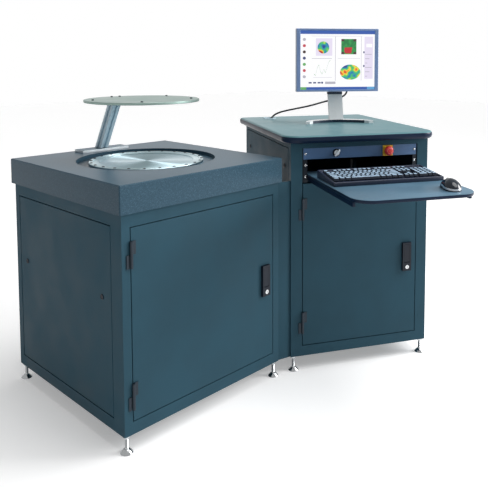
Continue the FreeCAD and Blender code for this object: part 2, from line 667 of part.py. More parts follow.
slab = new_body()
corners = (("0", "0"), ("granite_width", "0"), ("granite_width", "granite_depth"),
           ("0", "granite_depth"))
pad(slab, outline(slab, corners, start=granite_bottom), "granite_thick")
middle = ("granite_width/2", "granite_depth/2")
pocket(slab, circle(slab, *middle, "recess_radius", "granite_top"), "recess_depth")
pocket(slab, circle(slab, *middle, "bore_radius", "granite_top"), "granite_thick")
granite_level = level_at(value_of("granite_top"))
soften(slab, "Chamfer",
       lambda edge: upright(edge) or (granite_level(edge) and len(edge.Vertexes) == 2),
       "granite_chamfer")
piece("granite_plate", "station", slab)

# Aperture ring dropped into the bore, reference plate on its ledge, and the clamp ring over both.
seat = "(granite_top - recess_depth)"
ring_top = f"({seat} + ring_height)"
plate_top = f"({ring_top} - ring_step)"
plate_bottom = f"({plate_top} - plate_thick)"
piece("aperture_ring", "axis", turned((
    ("plate_radius - ring_lip", f"{plate_bottom} - ring_ledge"),
    ("bore_radius - rest_gap", f"{plate_bottom} - ring_ledge"),
    ("bore_radius - rest_gap", seat), ("ring_radius", seat),
    ("ring_radius", f"{ring_top} - ring_chamfer"), ("ring_radius - ring_chamfer", ring_top),
    ("ring_step_radius", ring_top), ("ring_step_radius", plate_top),
    ("plate_radius + rest_gap", plate_top), ("plate_radius + rest_gap", plate_bottom),
    ("plate_radius - ring_lip", plate_bottom))))
piece("reference_plate", "axis", rod("0", "0", plate_bottom, "plate_radius", "plate_thick"))
piece("clamp_ring", "axis", turned((
    ("clamp_inner_radius", plate_top), ("ring_step_radius - rest_gap", plate_top),
    ("ring_step_radius - rest_gap", f"{plate_top} + clamp_height"),
    ("clamp_inner_radius + clamp_height", f"{plate_top} + clamp_height"),
    ("clamp_inner_radius", f"{plate_top} + clamp_height/2"))))

# Shield disc on a slotted bar that leans forward from a foot plate at the back of the granite.
arm_x = "granite_width/2"
arm_base_y = "(granite_depth - arm_base_back - arm_base_depth)"
arm_foot_y = "(granite_depth - arm_foot_back)"
arm_foot_z = "(granite_top + arm_base_thick)"
disc_bottom = "(disc_top - disc_thick)"
piece("arm_base", "station", block(f"{arm_x} - arm_base_width/2", arm_base_y, "granite_top",
                                   "arm_base_width", "arm_base_depth", "arm_base_thick"))


def slotted_square(size, slot, depth):
    """The section of a square bar with a slot along each face, as corners round its middle."""
    half, lip, deep = f"{size}/2", f"{slot}/2", f"({size}/2 - {depth})"
    side = ((f"-{half}", f"-{half}"), (f"-{lip}", f"-{half}"), (f"-{lip}", f"-{deep}"),
            (lip, f"-{deep}"), (lip, f"-{half}"))
    points = []
    for quarter in range(4):
        for x, y in side:
            turn = ((x, y), (f"-({y})", x), (f"-({x})", f"-({y})"), (y, f"-({x})"))
            points.append(turn[quarter])
    return points


arm_rise = f"({disc_bottom} - {arm_foot_z})"
bar = prism(slotted_square("arm_size", "slot_width", "slot_depth"),
            f"{arm_rise}/cos(arm_lean) + 3*arm_size", start="-1.5*arm_size")
spin(bar, "arm_lean", (1, 0, 0))
move(bar, arm_x, arm_foot_y, arm_foot_z)
slab_between = block(f"{arm_x} - arm_size", "0", arm_foot_z, "2*arm_size", "granite_depth", arm_rise)
piece("arm_post", "station", common(bar, slab_between))
piece("shield_disc", "disc", turned((
    ("0", disc_bottom), ("disc_radius - disc_chamfer", disc_bottom),
    ("disc_radius", f"{disc_bottom} + disc_chamfer"), ("disc_radius", "disc_top - disc_chamfer"),
    ("disc_radius - disc_chamfer", "disc_top"), ("0", "disc_top"))))
arm_head_y = f"({arm_foot_y} - {DISC_Y} - {arm_rise}*sin(arm_lean)/cos(arm_lean))"
disc_screw_spots = [(f"disc_screw_circle*cos({angle})", f"disc_screw_circle*sin({angle})")
                    for angle in DISC_SCREW_ANGLES]
disc_screw_spots += [(f"{side}arm_screw_spread", arm_head_y) for side in ("", "-")]
piece("disc_screws", "disc", *(
    rod(x, y, "disc_top", "disc_screw_radius", "disc_screw_head") for x, y in disc_screw_spots))

# Optics: a cone that hangs under the granite with its lens, over a housing on the floor pan.
barrel_inner = "(barrel_radius - barrel_wall)"
lens_z = f"({granite_bottom} - lens_drop)"
flange_z = f"({granite_bottom} - barrel_flange_thick)"
piece("optics_barrel", "axis", turned((
    (barrel_inner, granite_bottom), ("barrel_flange_radius", granite_bottom),
    ("barrel_flange_radius", flange_z), ("barrel_radius", flange_z),
    ("barrel_radius", f"{lens_z} - barrel_wall"), ("barrel_foot_radius", "barrel_foot_z"),
    ("barrel_foot_radius - barrel_wall", "barrel_foot_z"),
    (f"{barrel_inner} - lens_ledge", f"{lens_z} - barrel_wall"),
    (f"{barrel_inner} - lens_ledge", lens_z), (barrel_inner, lens_z))))
lens_edge = f"({barrel_inner} - rest_gap)"
piece("collimator_lens", "axis", turned((
    ("0", lens_z), (lens_edge, lens_z), (lens_edge, f"{lens_z} + lens_thick - lens_crown"),
    (f"{lens_edge}*0.7", f"{lens_z} + lens_thick - lens_crown/2"), ("0", f"{lens_z} + lens_thick"))))
pan_top = "(cabinet_floor + pan_lift + sheet_wall)"
base_height = f"(barrel_foot_z - {pan_top})"
base_half = "optics_base_width/2"
window = rod("0", "0", "barrel_foot_z - 2*barrel_wall", "barrel_foot_radius - 2*barrel_wall",
             "2*barrel_wall")
piece("optics_base", "axis", cut(
    block(f"-{base_half}", f"-{base_half}", pan_top, "optics_base_width", "optics_base_width",
          base_height),
    block(f"-{base_half} + barrel_wall", f"-{base_half} + barrel_wall", f"{pan_top} + barrel_wall",
          "optics_base_width - 2*barrel_wall", "optics_base_width - 2*barrel_wall",
          f"{base_height} - 2*barrel_wall"), window))
piece("laser_module", "axis", rod(f"-{base_half} - laser_length", "0", "laser_z", "laser_radius",
                                  "laser_length", "x"))
piece("camera_module", "axis", fuse(
    block(base_half, "-camera_width/2", "camera_z", "camera_length", "camera_width",
          "camera_width"),
    rod(f"{base_half} + camera_length", "0", "camera_z + camera_width/2", "camera_lens_radius",
        "camera_lens_length", "x")))

# Bridge panel that closes the gap between the two front posts.
near_x, near_y = console_point("0", "bridge_inset")
far_x, far_y = console_point("0", "bridge_inset + bridge_thick")
piece("bridge_panel", "station", prism((
    (station.right, "bridge_front"), (near_x, near_y), (far_x, far_y),
    (station.right, "bridge_front + bridge_thick")),
    f"{station_top} - cabinet_floor", start="cabinet_floor"))

# Worktop with rounded corners and edges, and the cable grommet near its back left corner.
worktop_top = "(console_top + worktop_thick)"
board = new_body()
left_edge, front_edge = "-worktop_overhang", "-worktop_overhang"
right_edge, back_edge = "console_width + worktop_overhang", "console_depth + worktop_overhang"
pad(board, outline(board, ((left_edge, front_edge), (right_edge, front_edge),
                           (right_edge, back_edge), (left_edge, back_edge)), start="console_top"),
    "worktop_thick")
board_middle = value_of("console_depth/2")
soften(board, "Fillet", lambda e: upright(e) and e.CenterOfMass.y < board_middle, "worktop_corner")
soften(board, "Fillet", lambda e: upright(e) and e.CenterOfMass.y > board_middle
       and e.Vertexes[0].Y > value_of(back_edge) - 1, "worktop_back_corner")
board_levels = (level_at(value_of("console_top")), level_at(value_of(worktop_top)))
soften(board, "Fillet", lambda e: any(flat(e) for flat in board_levels), "worktop_round")
pocket(board, circle(board, "grommet_x", "grommet_y", "grommet_radius", worktop_top),
       "worktop_thick")
piece("worktop", "console", board)
piece("cable_grommet", "grommet", turned((
    ("grommet_radius - grommet_wall", "console_top"), ("grommet_radius - rest_gap", "console_top"),
    ("grommet_radius - rest_gap", worktop_top),
    ("grommet_radius + grommet_flange", worktop_top),
    ("grommet_radius + grommet_flange - grommet_flange_thick/2",
     f"{worktop_top} + grommet_flange_thick"),
    ("grommet_radius - grommet_wall", f"{worktop_top} + grommet_flange_thick"))))

# Nineteen inch bay: rails on the posts, drawer ears, and the control panel in the top unit.
rack_height = "(rack_units*rack_unit)"
rack_top = f"(rack_bottom + {rack_height})"
control_bottom = f"({rack_top} - rack_unit)"
tray_bottom = "(tray_top - tray_thick)"
bay_right = f"(console_width - {CONSOLE_POST})"
ear_left = "((console_width - rack_width)/2)"
ear_right = "((console_width + rack_width)/2 - ear_width)"
ear_front = "(rail_recess - panel_sheet)"
rails = []
for web_x, flange_x in ((CONSOLE_POST, CONSOLE_POST),
                        (f"{bay_right} - rail_sheet", f"{bay_right} - rail_flange")):
    rails.append(fuse(
        block(web_x, "rail_recess", "rack_bottom", "rail_sheet", "rail_web", rack_height),
        block(flange_x, "rail_recess", "rack_bottom", "rail_flange", "rail_sheet", rack_height)))
piece("rack_rails", "console", *rails)
drawer_ears = [block(x, ear_front, "rack_bottom", "ear_width", "panel_sheet",
                     f"{control_bottom} - rack_bottom") for x in (ear_left, ear_right)]

control_z = f"({control_bottom} + control_gap/2)"
control_middle = f"({control_bottom} + rack_unit/2)"
plate = block(ear_left, ear_front, control_z, "rack_width", "panel_sheet",
              "rack_unit - control_gap")
box = block("(console_width - control_box_width)/2", "rail_recess",
            f"{control_middle} - control_box_height/2", "control_box_width",
            "control_box_depth", "control_box_height")
box_core = block("(console_width - control_box_width)/2 + sheet_wall", "rail_recess",
                 f"{control_middle} - control_box_height/2 + sheet_wall",
                 "control_box_width - 2*sheet_wall", "control_box_depth - sheet_wall",
                 "control_box_height - 2*sheet_wall")
estop_hole = rod("estop_x", ear_front, control_middle, "estop_stem_radius + running_fit",
                 "panel_sheet", "y")
selector_hole = rod("selector_x", ear_front, control_middle, "selector_hub_radius + running_fit",
                    "panel_sheet", "y")
piece("control_panel", "console", cut(fuse(plate, cut(box, box_core)), estop_hole, selector_hole))

screw_rows = [f"({control_bottom} + rack_unit/2 - {count}*rack_unit)"
              for count in range(SIZES["rack_units"])]
piece("rack_screws", "console", *(
    rod(f"(console_width {side} rack_screw_spacing)/2", f"{ear_front} - rack_screw_head", z,
        "rack_screw_radius", "rack_screw_head", "y")
    for z in screw_rows for side in "+-"))

# Emergency stop: a square collar, and a mushroom button whose stem slides through the panel.
estop_front = f"({ear_front} - estop_base_thick)"
piece("estop_collar", "console", cut(
    block("estop_x - estop_base/2", estop_front, f"{control_middle} - estop_base/2", "estop_base",
          "estop_base_thick", "estop_base"),
    rod("estop_x", estop_front, control_middle, "estop_stem_radius + running_fit",
        "estop_base_thick", "y")))
estop_cap_back = f"({estop_front} - estop_travel - 2*rest_gap)"
piece("estop_button", "console", fuse(
    rod("estop_x", f"{estop_cap_back} - estop_cap", control_middle, "estop_radius", "estop_cap",
        "y"),
    rod("estop_x", estop_cap_back, control_middle, "estop_stem_radius",
        "estop_base_thick + estop_travel + panel_sheet + 3*rest_gap", "y")))

# Selector switch: a round bezel, and a lever on a hub that turns in it.
selector_front = f"({ear_front} - selector_bezel)"
hub_bore = "selector_hub_radius + running_fit"
piece("selector_bezel", "console", cut(
    rod("selector_x", selector_front, control_middle, "selector_radius", "selector_bezel", "y"),
    rod("selector_x", selector_front, control_middle, hub_bore, "selector_bezel", "y")))
grip = block("-selector_lever_width/2", f"{selector_front} - rest_gap - selector_hub",
             "-selector_lever/2", "selector_lever_width", "selector_hub", "selector_lever")
turned_grip = move(spin(group(grip), "selector_rest", (0, 1, 0)), "selector_x", "0", control_middle)
piece("selector_lever", "console", fuse(
    rod("selector_x", f"{selector_front} - rest_gap", control_middle, "selector_hub_radius",
        "selector_bezel + panel_sheet + rest_gap", "y"), turned_grip))

# Rack computer on the console's floor pan.
computer_left = "((console_width - computer_width)/2)"
piece("computer", "console", fuse(
    block(computer_left, "computer_y", pan_top, "computer_width", "computer_depth",
          "computer_height"),
    block(f"{computer_left} + computer_width/2 - rack_width/2",
          "computer_y - computer_ear_thick", pan_top, "rack_width", "computer_ear_thick",
          "computer_height")))

# Keyboard tray on telescopic slides, shown pulled out.
tray_left = "(console_width/2 - tray_width/2)"
tray = new_body()
pad(tray, outline(tray, ((tray_left, "-tray_reach"), (TRAY_RIGHT, "-tray_reach"),
                         (TRAY_RIGHT, "tray_tail"), (tray_left, "tray_tail")), start=tray_bottom),
    "tray_thick")
soften(tray, "Fillet", lambda e: upright(e) and e.CenterOfMass.y < 0, "tray_corner")
slide_outer = f"({CONSOLE_POST} + rail_flange - slide_lap)"
slide_z = f"({tray_bottom} - slide_drop)"
inner_left = f"({slide_outer} + slide_width + rest_gap)"
runners = [block(x, "-tray_reach + slide_nose", slide_z, "slide_width",
                 "tray_reach - slide_nose + tray_tail", "slide_drop")
           for x in (inner_left, f"console_width - {inner_left} - slide_width")]
piece("keyboard_tray", "console", tray, *runners)
slide_parts = []
for mirrored in (False, True):
    rail_x = f"console_width - {slide_outer} - slide_width" if mirrored else slide_outer
    bracket_x = f"console_width - {slide_outer}" if mirrored else f"{slide_outer} - slide_bracket"
    slide_parts.append(fuse(
        block(rail_x, "rail_recess + rail_sheet", slide_z, "slide_width", "slide_length",
              "slide_drop - slide_gap"),
        block(bracket_x, "slide_bracket_y", "rack_bottom", "slide_bracket", "slide_bracket",
              "slide_bracket_thick")))
piece("slide_rails", "console", *slide_parts, *drawer_ears)

# Keyboard: a wedge-shaped case with a sloping well, and the keys that fill the well. Each key has a
# square stem, which slides in its own hole in the well's floor.
key_slope = "atan((keyboard_back - keyboard_front)/keyboard_depth)"
keyboard_left = "(console_width/2 - keyboard_width/2)"
keyboard_front_y = "(-keyboard_y - keyboard_depth)"
wedge = prism(((keyboard_front_y, "tray_top"), ("-keyboard_y", "tray_top"),
               ("-keyboard_y", "tray_top + keyboard_back"),
               (keyboard_front_y, "tray_top + keyboard_front")),
              "keyboard_width", "YZ_Plane", keyboard_left)
key_field = f"(key_pitch*{KEY_COLUMNS})"
key_rows_depth = f"(key_pitch*{KEY_LINES})"
deck_length = "(keyboard_depth/cos(" + key_slope + "))"
well_margin_x = f"((keyboard_width - {key_field})/2)"
well_margin_y = f"(({deck_length} - {key_rows_depth})/2)"


def on_deck(*things):
    """Solids drawn on the keyboard's sloping top, from its front left corner, set in place."""
    deck = group(*things)
    spin(deck, key_slope, (1, 0, 0))
    return move(deck, keyboard_left, keyboard_front_y, "tray_top + keyboard_front")


well = on_deck(block(f"{well_margin_x} - key_margin", f"{well_margin_y} - key_margin", "-key_well",
                     f"{key_field} + 2*key_margin", f"{key_rows_depth} + 2*key_margin",
                     "2*key_well"))
key_spots = []
for row_index, row_keys in enumerate(KEY_ROWS):
    across = 0
    up = row_index if row_index < len(KEY_ROWS) - 1 else KEY_LINES - 1
    for space, size in row_keys:
        across += space
        key_spots.append((f"{well_margin_x} + {across}*key_pitch", f"{well_margin_y} + {up}*key_pitch",
                          f"({size}*key_pitch)"))
        across += size


def on_stem(spot, clearance, low, height):
    """A square bar under the middle of a key, with a clearance all round it."""
    left, near, width = spot
    return block(f"{left} + ({width} - stem_width)/2 - {clearance}",
                 f"{near} + (key_pitch - stem_width)/2 - {clearance}", low,
                 f"stem_width + 2*{clearance}", f"stem_width + 2*{clearance}", height)


stem_foot = "-key_well - stem_seat"
stem_holes = on_deck(*(on_stem(spot, "rest_gap", f"{stem_foot} - key_lift", "stem_seat + key_lift")
                       for spot in key_spots))
piece("keyboard_case", "console", cut(wedge, well, stem_holes))
keys = []
for left, near, width in key_spots:
    cap = block(f"{left} + key_gap/2", f"{near} + key_gap/2", "key_lift - key_well",
                f"{width} - key_gap", "key_pitch - key_gap", "key_height")
    keys.append(fuse(cap, on_stem((left, near, width), "0", stem_foot, "stem_seat + key_lift")))
piece("keyboard_keys", "console", group(on_deck(*keys)))

# Mouse: a humped shell with a slot for its wheel, on the tray's right front.
hump = prism([(f"{along}*mouse_length", f"{up}*mouse_height") for along, up in MOUSE_PROFILE],
             "mouse_width", "YZ_Plane", "-mouse_width/2")
plan = new_body()
pad(plan, outline(plan, (("-mouse_width/2", "-mouse_length/2"), ("mouse_width/2", "-mouse_length/2"),
                         ("mouse_width/2", "mouse_length/2"), ("-mouse_width/2", "mouse_length/2"))),
    "mouse_height")
soften(plan, "Fillet", upright, "mouse_corner")
wheel_z = "wheel_raise"
slot_half = "(wheel_width/2 + wheel_slot_gap)"
wheel_slot = block(f"-{slot_half}", "wheel_forward - wheel_radius - wheel_slot_gap",
                   f"{wheel_z} - wheel_radius - wheel_slot_gap", f"2*{slot_half}",
                   "2*wheel_radius + 2*wheel_slot_gap", "mouse_height")
axle_bore = rod(f"-{slot_half} - wheel_axle_reach", "wheel_forward", wheel_z,
                "wheel_axle + running_fit", f"2*{slot_half} + 2*wheel_axle_reach", "x")
piece("mouse_shell", "mouse", cut(common(plan, hump), wheel_slot, axle_bore))
piece("mouse_wheel", "mouse", fuse(
    rod("-wheel_width/2", "wheel_forward", wheel_z, "wheel_radius", "wheel_width", "x"),
    rod(f"-{slot_half} - wheel_axle_reach + rest_gap", "wheel_forward", wheel_z, "wheel_axle",
        f"2*{slot_half} + 2*wheel_axle_reach - 2*rest_gap", "x")))

# Monitor stand: a crescent base, a leaning neck and the barrel that the screen tilts on.
outer_disc = rod("0", "stand_outer_y", "0", "stand_outer_radius", "stand_thick")
inner_disc = rod("0", "stand_inner_y", "0", "stand_inner_radius", "stand_thick")
behind_tips = block("-stand_outer_radius", "stand_front_y", "0", "2*stand_outer_radius",
                    "2*stand_outer_radius", "stand_thick")
crescent = common(cut(outer_disc, inner_disc), behind_tips)
half_neck = "neck_thick/2"
lean_neck = prism((
    (f"neck_foot_y - {half_neck}", "stand_thick"), (f"neck_foot_y + {half_neck}", "stand_thick"),
    (f"neck_head_y + {half_neck}", "neck_lean_top"), (f"neck_head_y - {half_neck}", "neck_lean_top"),
), "neck_width", "YZ_Plane", "-neck_width/2")
slim_neck = prism((
    (f"neck_head_y - {half_neck}", "neck_lean_top"), (f"neck_head_y + {half_neck}", "neck_lean_top"),
    (f"tilt_y + {half_neck}/2", "tilt_z"), (f"tilt_y - {half_neck}/2", "tilt_z"),
), "neck_slim_width", "YZ_Plane", "-neck_slim_width/2")
barrel = rod("-neck_slim_width/2", "tilt_y", "tilt_z", "tilt_barrel_radius", "neck_slim_width", "x")
tilt_bore = rod("-neck_slim_width/2", "tilt_y", "tilt_z", "tilt_pin_radius + running_fit",
                "neck_slim_width", "x")
piece("monitor_stand", "monitor", cut(fuse(crescent, lean_neck, slim_neck, barrel), tilt_bore))

# Monitor head: rear shell with its bulge, tilt lugs and pin, the bezel and the screen.
case_half = "case_width/2"
case_low = "(screen_centre_z - case_height/2)"
shell_back = "(case_front_y + case_thick)"
bulge_back = f"({shell_back} + case_bulge)"
shell = block(f"-{case_half}", "case_front_y", case_low, "case_width", "case_thick", "case_height")
bulge = doc.addObject("Part::Wedge", "Bulge")
bind(bulge, Xmin=f"-{case_half} + bulge_slope/2", Xmax=f"{case_half} - bulge_slope/2",
     X2min=f"-{case_half} + 2*bulge_slope", X2max=f"{case_half} - 2*bulge_slope",
     Zmin=f"{case_low} + bulge_slope/2", Zmax=f"{case_low} + case_height - bulge_slope/2",
     Z2min=f"{case_low} + 2*bulge_slope", Z2max=f"{case_low} + case_height - 2*bulge_slope",
     Ymin=shell_back, Ymax=bulge_back)
lug_reach = f"(tilt_y + lug_half - {bulge_back})"
lugs = [block(x, bulge_back, "tilt_z - lug_half", "lug_thick", lug_reach, "2*lug_half")
        for x in ("neck_slim_width/2 + rest_gap", "-neck_slim_width/2 - rest_gap - lug_thick")]
pin_half = "(neck_slim_width/2 + lug_thick + rest_gap)"
tilt_pin = rod(f"-{pin_half}", "tilt_y", "tilt_z", "tilt_pin_radius", f"2*{pin_half}", "x")
port = block("port_x - port_width/2", "port_y - port_depth/2", "port_z", "port_width",
             "port_depth", "port_height")
piece("monitor_case", "monitor", fuse(shell, bulge, *lugs, tilt_pin, port))
bezel_front = "(case_front_y - bezel_thick)"
frame_ring = block(f"-{case_half}", bezel_front, case_low, "case_width", "bezel_thick",
                   "case_height")
opening = block(f"-{case_half} + bezel_side", bezel_front, f"{case_low} + bezel_edge",
                "case_width - 2*bezel_side", "bezel_thick", "case_height - 2*bezel_edge")
piece("monitor_bezel", "monitor", cut(frame_ring, opening))
piece("monitor_screen", "monitor", block(
    f"-{case_half} + bezel_side", "case_front_y - screen_thick", f"{case_low} + bezel_edge",
    "case_width - 2*bezel_side", "screen_thick", "case_height - 2*bezel_edge"))


# Monitor cord: straight runs joined by arcs, from the port down through the grommet.
def cord_path(route):
    """The route's runs and tangent arcs as one wire, and the arcs' radii."""
    points = [Vector(*point) for point in route]
    edges, radii = [], []
    start = points[0]
    for before, corner, after in zip(points, points[1:], points[2:]):
        run_in, run_out = corner - before, after - corner
        half_turn = run_in.getAngle(run_out)/2
        trim = CORD_ARC_SHARE*min(run_in.Length, run_out.Length)
        radii.append(trim/math.tan(half_turn))
        run_in.normalize()
        run_out.normalize()
        arc_start, arc_end = corner - run_in*trim, corner + run_out*trim
        inward = (run_out - run_in).normalize()
        arc_middle = corner + inward*radii[-1]*(1/math.cos(half_turn) - 1)
        edges.append(Part.LineSegment(start, arc_start).toShape())
        edges.append(Part.Arc(arc_start, arc_middle, arc_end).toShape())
        start = arc_end
    edges.append(Part.LineSegment(start, points[-1]).toShape())
    return Part.Wire(edges), radii


path, cord_radii = cord_path(CORD_ROUTE)
cord_start, cord_next = Vector(*CORD_ROUTE[0]), Vector(*CORD_ROUTE[1])
cord_radius = value_of("cord_diameter/2")
section = Part.Wire(Part.Circle(cord_start, cord_next - cord_start, cord_radius).toShape())
cord = doc.addObject("Part::Feature", "Cord")
cord.Shape = path.makePipeShell([section], True, False)
piece("monitor_cord", "console", cord)

# Check every object, then write each sub-part's shape to its file.
doc.recompute()
failed = [thing.Name for thing in doc.Objects
          if "Invalid" in thing.State or "Error" in thing.State]
failed += [thing.Label for thing in pieces if thing.Shape.isNull() or not thing.Shape.isValid()]
if failed:
    raise RuntimeError(f"These objects did not build: {failed}")
print("cord length", round(path.Length, 1), "radii", [round(radius) for radius in cord_radii])
cord_volume = math.pi*cord_radius**2*path.Length
print("cord volume over section times length", round(cord.Shape.Volume/cord_volume, 4))
os.makedirs("parts", exist_ok=True)
for thing in pieces:
    thing.Shape.exportStep(f"parts/{thing.Label}.step")
print(len(pieces), "sub-parts written")
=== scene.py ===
import json
import math

import bmesh
import bpy
from mathutils import Matrix, Vector

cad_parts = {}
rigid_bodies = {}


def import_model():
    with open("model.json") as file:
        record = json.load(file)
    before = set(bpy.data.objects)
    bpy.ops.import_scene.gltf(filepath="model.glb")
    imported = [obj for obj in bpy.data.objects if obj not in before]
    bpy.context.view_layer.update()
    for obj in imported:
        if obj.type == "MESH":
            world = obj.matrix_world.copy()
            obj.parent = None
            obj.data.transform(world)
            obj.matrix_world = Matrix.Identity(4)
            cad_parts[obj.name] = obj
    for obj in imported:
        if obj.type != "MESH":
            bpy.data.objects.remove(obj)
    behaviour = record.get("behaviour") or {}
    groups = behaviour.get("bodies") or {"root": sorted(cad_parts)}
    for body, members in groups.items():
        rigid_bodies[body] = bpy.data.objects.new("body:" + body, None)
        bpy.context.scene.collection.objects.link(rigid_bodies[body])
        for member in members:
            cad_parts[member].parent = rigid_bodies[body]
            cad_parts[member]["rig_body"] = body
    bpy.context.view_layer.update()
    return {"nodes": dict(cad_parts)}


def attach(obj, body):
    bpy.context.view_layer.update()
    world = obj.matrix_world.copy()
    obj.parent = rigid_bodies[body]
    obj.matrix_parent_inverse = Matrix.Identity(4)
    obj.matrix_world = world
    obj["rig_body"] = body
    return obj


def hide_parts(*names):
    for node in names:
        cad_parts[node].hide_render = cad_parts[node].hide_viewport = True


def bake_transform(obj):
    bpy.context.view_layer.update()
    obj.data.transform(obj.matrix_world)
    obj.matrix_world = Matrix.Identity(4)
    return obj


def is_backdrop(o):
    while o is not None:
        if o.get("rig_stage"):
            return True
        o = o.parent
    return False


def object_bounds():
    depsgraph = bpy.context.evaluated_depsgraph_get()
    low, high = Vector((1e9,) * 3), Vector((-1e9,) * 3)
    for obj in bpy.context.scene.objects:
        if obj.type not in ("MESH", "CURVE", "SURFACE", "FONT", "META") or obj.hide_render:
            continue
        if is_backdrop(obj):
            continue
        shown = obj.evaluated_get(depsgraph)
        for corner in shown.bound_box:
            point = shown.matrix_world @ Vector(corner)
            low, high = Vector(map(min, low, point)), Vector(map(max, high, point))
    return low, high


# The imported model.
# Its boxes, cylinders and sheets are the fixed frame, and every piece below sits on them.
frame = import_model()
nodes = frame["nodes"]
scene = bpy.context.scene
scene.view_settings.view_transform = "Standard"

# Camera.
# It stands to the left of the station at eye height, and is shifted as the photograph is framed.
camera_data = bpy.data.cameras.new("view")
camera_data.sensor_width = 36
camera_data.lens = 46.7
camera_data.shift_x = -0.0756
camera_data.shift_y = -0.29
camera = bpy.data.objects.new("view", camera_data)
camera.location = (-1.8518, -1.6557, 1.234)
camera.rotation_euler = (math.radians(85.797), 0, math.radians(-46.838))
scene.collection.objects.link(camera)
scene.camera = camera


# Monitor cord.
# A round black cable with a moulded sleeve where it leaves the port at the back of the screen. It
# drops, runs over the worktop and goes down through the grommet.
def display_colour(red, green, blue):
    """A colour given by its 8-bit display values, as the linear light that a shader takes."""
    shares = [value/255 for value in (red, green, blue)]
    light = [share/12.92 if share < 0.04 else ((share + 0.055)/1.055)**2.4 for share in shares]
    return (*light, 1)


def new_finish(name, colour, roughness, metallic=0.0):
    """A material with its plain values set on the shader."""
    material = bpy.data.materials.new(name)
    material.use_nodes = True
    shader = material.node_tree.nodes["Principled BSDF"]
    shader.inputs["Base Color"].default_value = colour
    shader.inputs["Roughness"].default_value = roughness
    shader.inputs["Metallic"].default_value = metallic
    return material


def shader_of(material):
    return material.node_tree.nodes["Principled BSDF"]


def spots(material, kind, scale):
    """A texture that reads the object's own coordinates."""
    tree = material.node_tree
    where = tree.nodes.new("ShaderNodeTexCoord")
    texture = tree.nodes.new(kind)
    texture.inputs["Scale"].default_value = scale
    tree.links.new(where.outputs["Object"], texture.inputs["Vector"])
    return texture


def ramp_of(material, source, stops):
    """A colour ramp over a texture, from pairs of place and colour."""
    tree = material.node_tree
    ramp = tree.nodes.new("ShaderNodeValToRGB")
    elements = ramp.color_ramp.elements
    for place, colour in stops[1:-1]:
        elements.new(place).color = colour
    elements[0].position, elements[0].color = stops[0]
    elements[-1].position, elements[-1].color = stops[-1]
    tree.links.new(source, ramp.inputs["Fac"])
    return ramp.outputs["Color"]


def colour_by(material, source, stops):
    tree = material.node_tree
    tree.links.new(ramp_of(material, source, stops), shader_of(material).inputs["Base Color"])


NOISE_SPAN = (0.3, 0.7)


def gloss_by(material, source, smooth, rough):
    """Roughness that wanders between two values over the span that a noise mostly keeps to."""
    tree = material.node_tree
    spread = tree.nodes.new("ShaderNodeMapRange")
    spread.inputs["From Min"].default_value = NOISE_SPAN[0]
    spread.inputs["From Max"].default_value = NOISE_SPAN[1]
    spread.inputs["To Min"].default_value = smooth
    spread.inputs["To Max"].default_value = rough
    tree.links.new(source, spread.inputs["Value"])
    tree.links.new(spread.outputs["Result"], shader_of(material).inputs["Roughness"])


RELIEF_STRENGTH = 0.5


def relief_by(material, source, depth):
    """Fine unevenness, as deep as the given length."""
    tree = material.node_tree
    bump = tree.nodes.new("ShaderNodeBump")
    bump.inputs["Strength"].default_value = RELIEF_STRENGTH
    bump.inputs["Distance"].default_value = depth
    tree.links.new(source, bump.inputs["Height"])
    tree.links.new(bump.outputs["Normal"], shader_of(material).inputs["Normal"])


PATCH_SCALE = 9
GLOSS_SWING = 0.15


def plain_finish(name, colour, roughness, metallic=0.0, mottle=0.1, grain=900, depth=0.0001,
                 shine=0.5):
    """A finish with slight changes of tone and gloss across it and a fine grain."""
    material = new_finish(name, colour, roughness, metallic)
    shader_of(material).inputs["Specular IOR Level"].default_value = shine
    patches = spots(material, "ShaderNodeTexNoise", PATCH_SCALE).outputs["Fac"]
    darker = [value*(1 - mottle) for value in colour[:3]]
    lighter = [value*(1 + mottle) for value in colour[:3]]
    colour_by(material, patches, ((0.35, (*darker, 1)), (0.65, (*lighter, 1))))
    gloss_by(material, patches, roughness*(1 - GLOSS_SWING), roughness*(1 + GLOSS_SWING))
    relief_by(material, spots(material, "ShaderNodeTexNoise", grain).outputs["Fac"], depth)
    return material


WELD = 0.000002


def set_piece(name, shape, material, body, replaced=(), sharp=34, place=None):
    """Finishes a mesh: welded, turned outwards, in its place and on the body that carries it."""
    if place is not None:
        bmesh.ops.transform(shape, matrix=place, verts=shape.verts)
    bmesh.ops.remove_doubles(shape, verts=shape.verts, dist=WELD)
    bmesh.ops.recalc_face_normals(shape, faces=shape.faces)
    mesh = bpy.data.meshes.new(name)
    shape.to_mesh(mesh)
    shape.free()
    mesh.shade_smooth()
    mesh.set_sharp_from_angle(angle=math.radians(sharp))
    for layer in material if isinstance(material, (list, tuple)) else [material]:
        mesh.materials.append(layer)
    piece = bpy.data.objects.new(name, mesh)
    scene.collection.objects.link(piece)
    if body:
        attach(piece, body)
    if replaced:
        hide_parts(*replaced)
    return piece


def add_tube(shape, points, radii, sides=16):
    """A closed round tube whose rings stand square to the line through the points."""
    rings = []
    for here, point in enumerate(points):
        ahead = points[min(here + 1, len(points) - 1)] - points[max(here - 1, 0)]
        place = Matrix.Translation(point) @ ahead.to_track_quat("Z", "Y").to_matrix().to_4x4()
        closed = here in (0, len(points) - 1)
        ring = bmesh.ops.create_circle(shape, segments=sides, radius=radii[here],
                                       cap_ends=closed, matrix=place)["verts"]
        rings.append({edge for vert in ring for edge in vert.link_edges})
    for low, high in zip(rings, rings[1:]):
        bmesh.ops.bridge_loops(shape, edges=list(low | high))


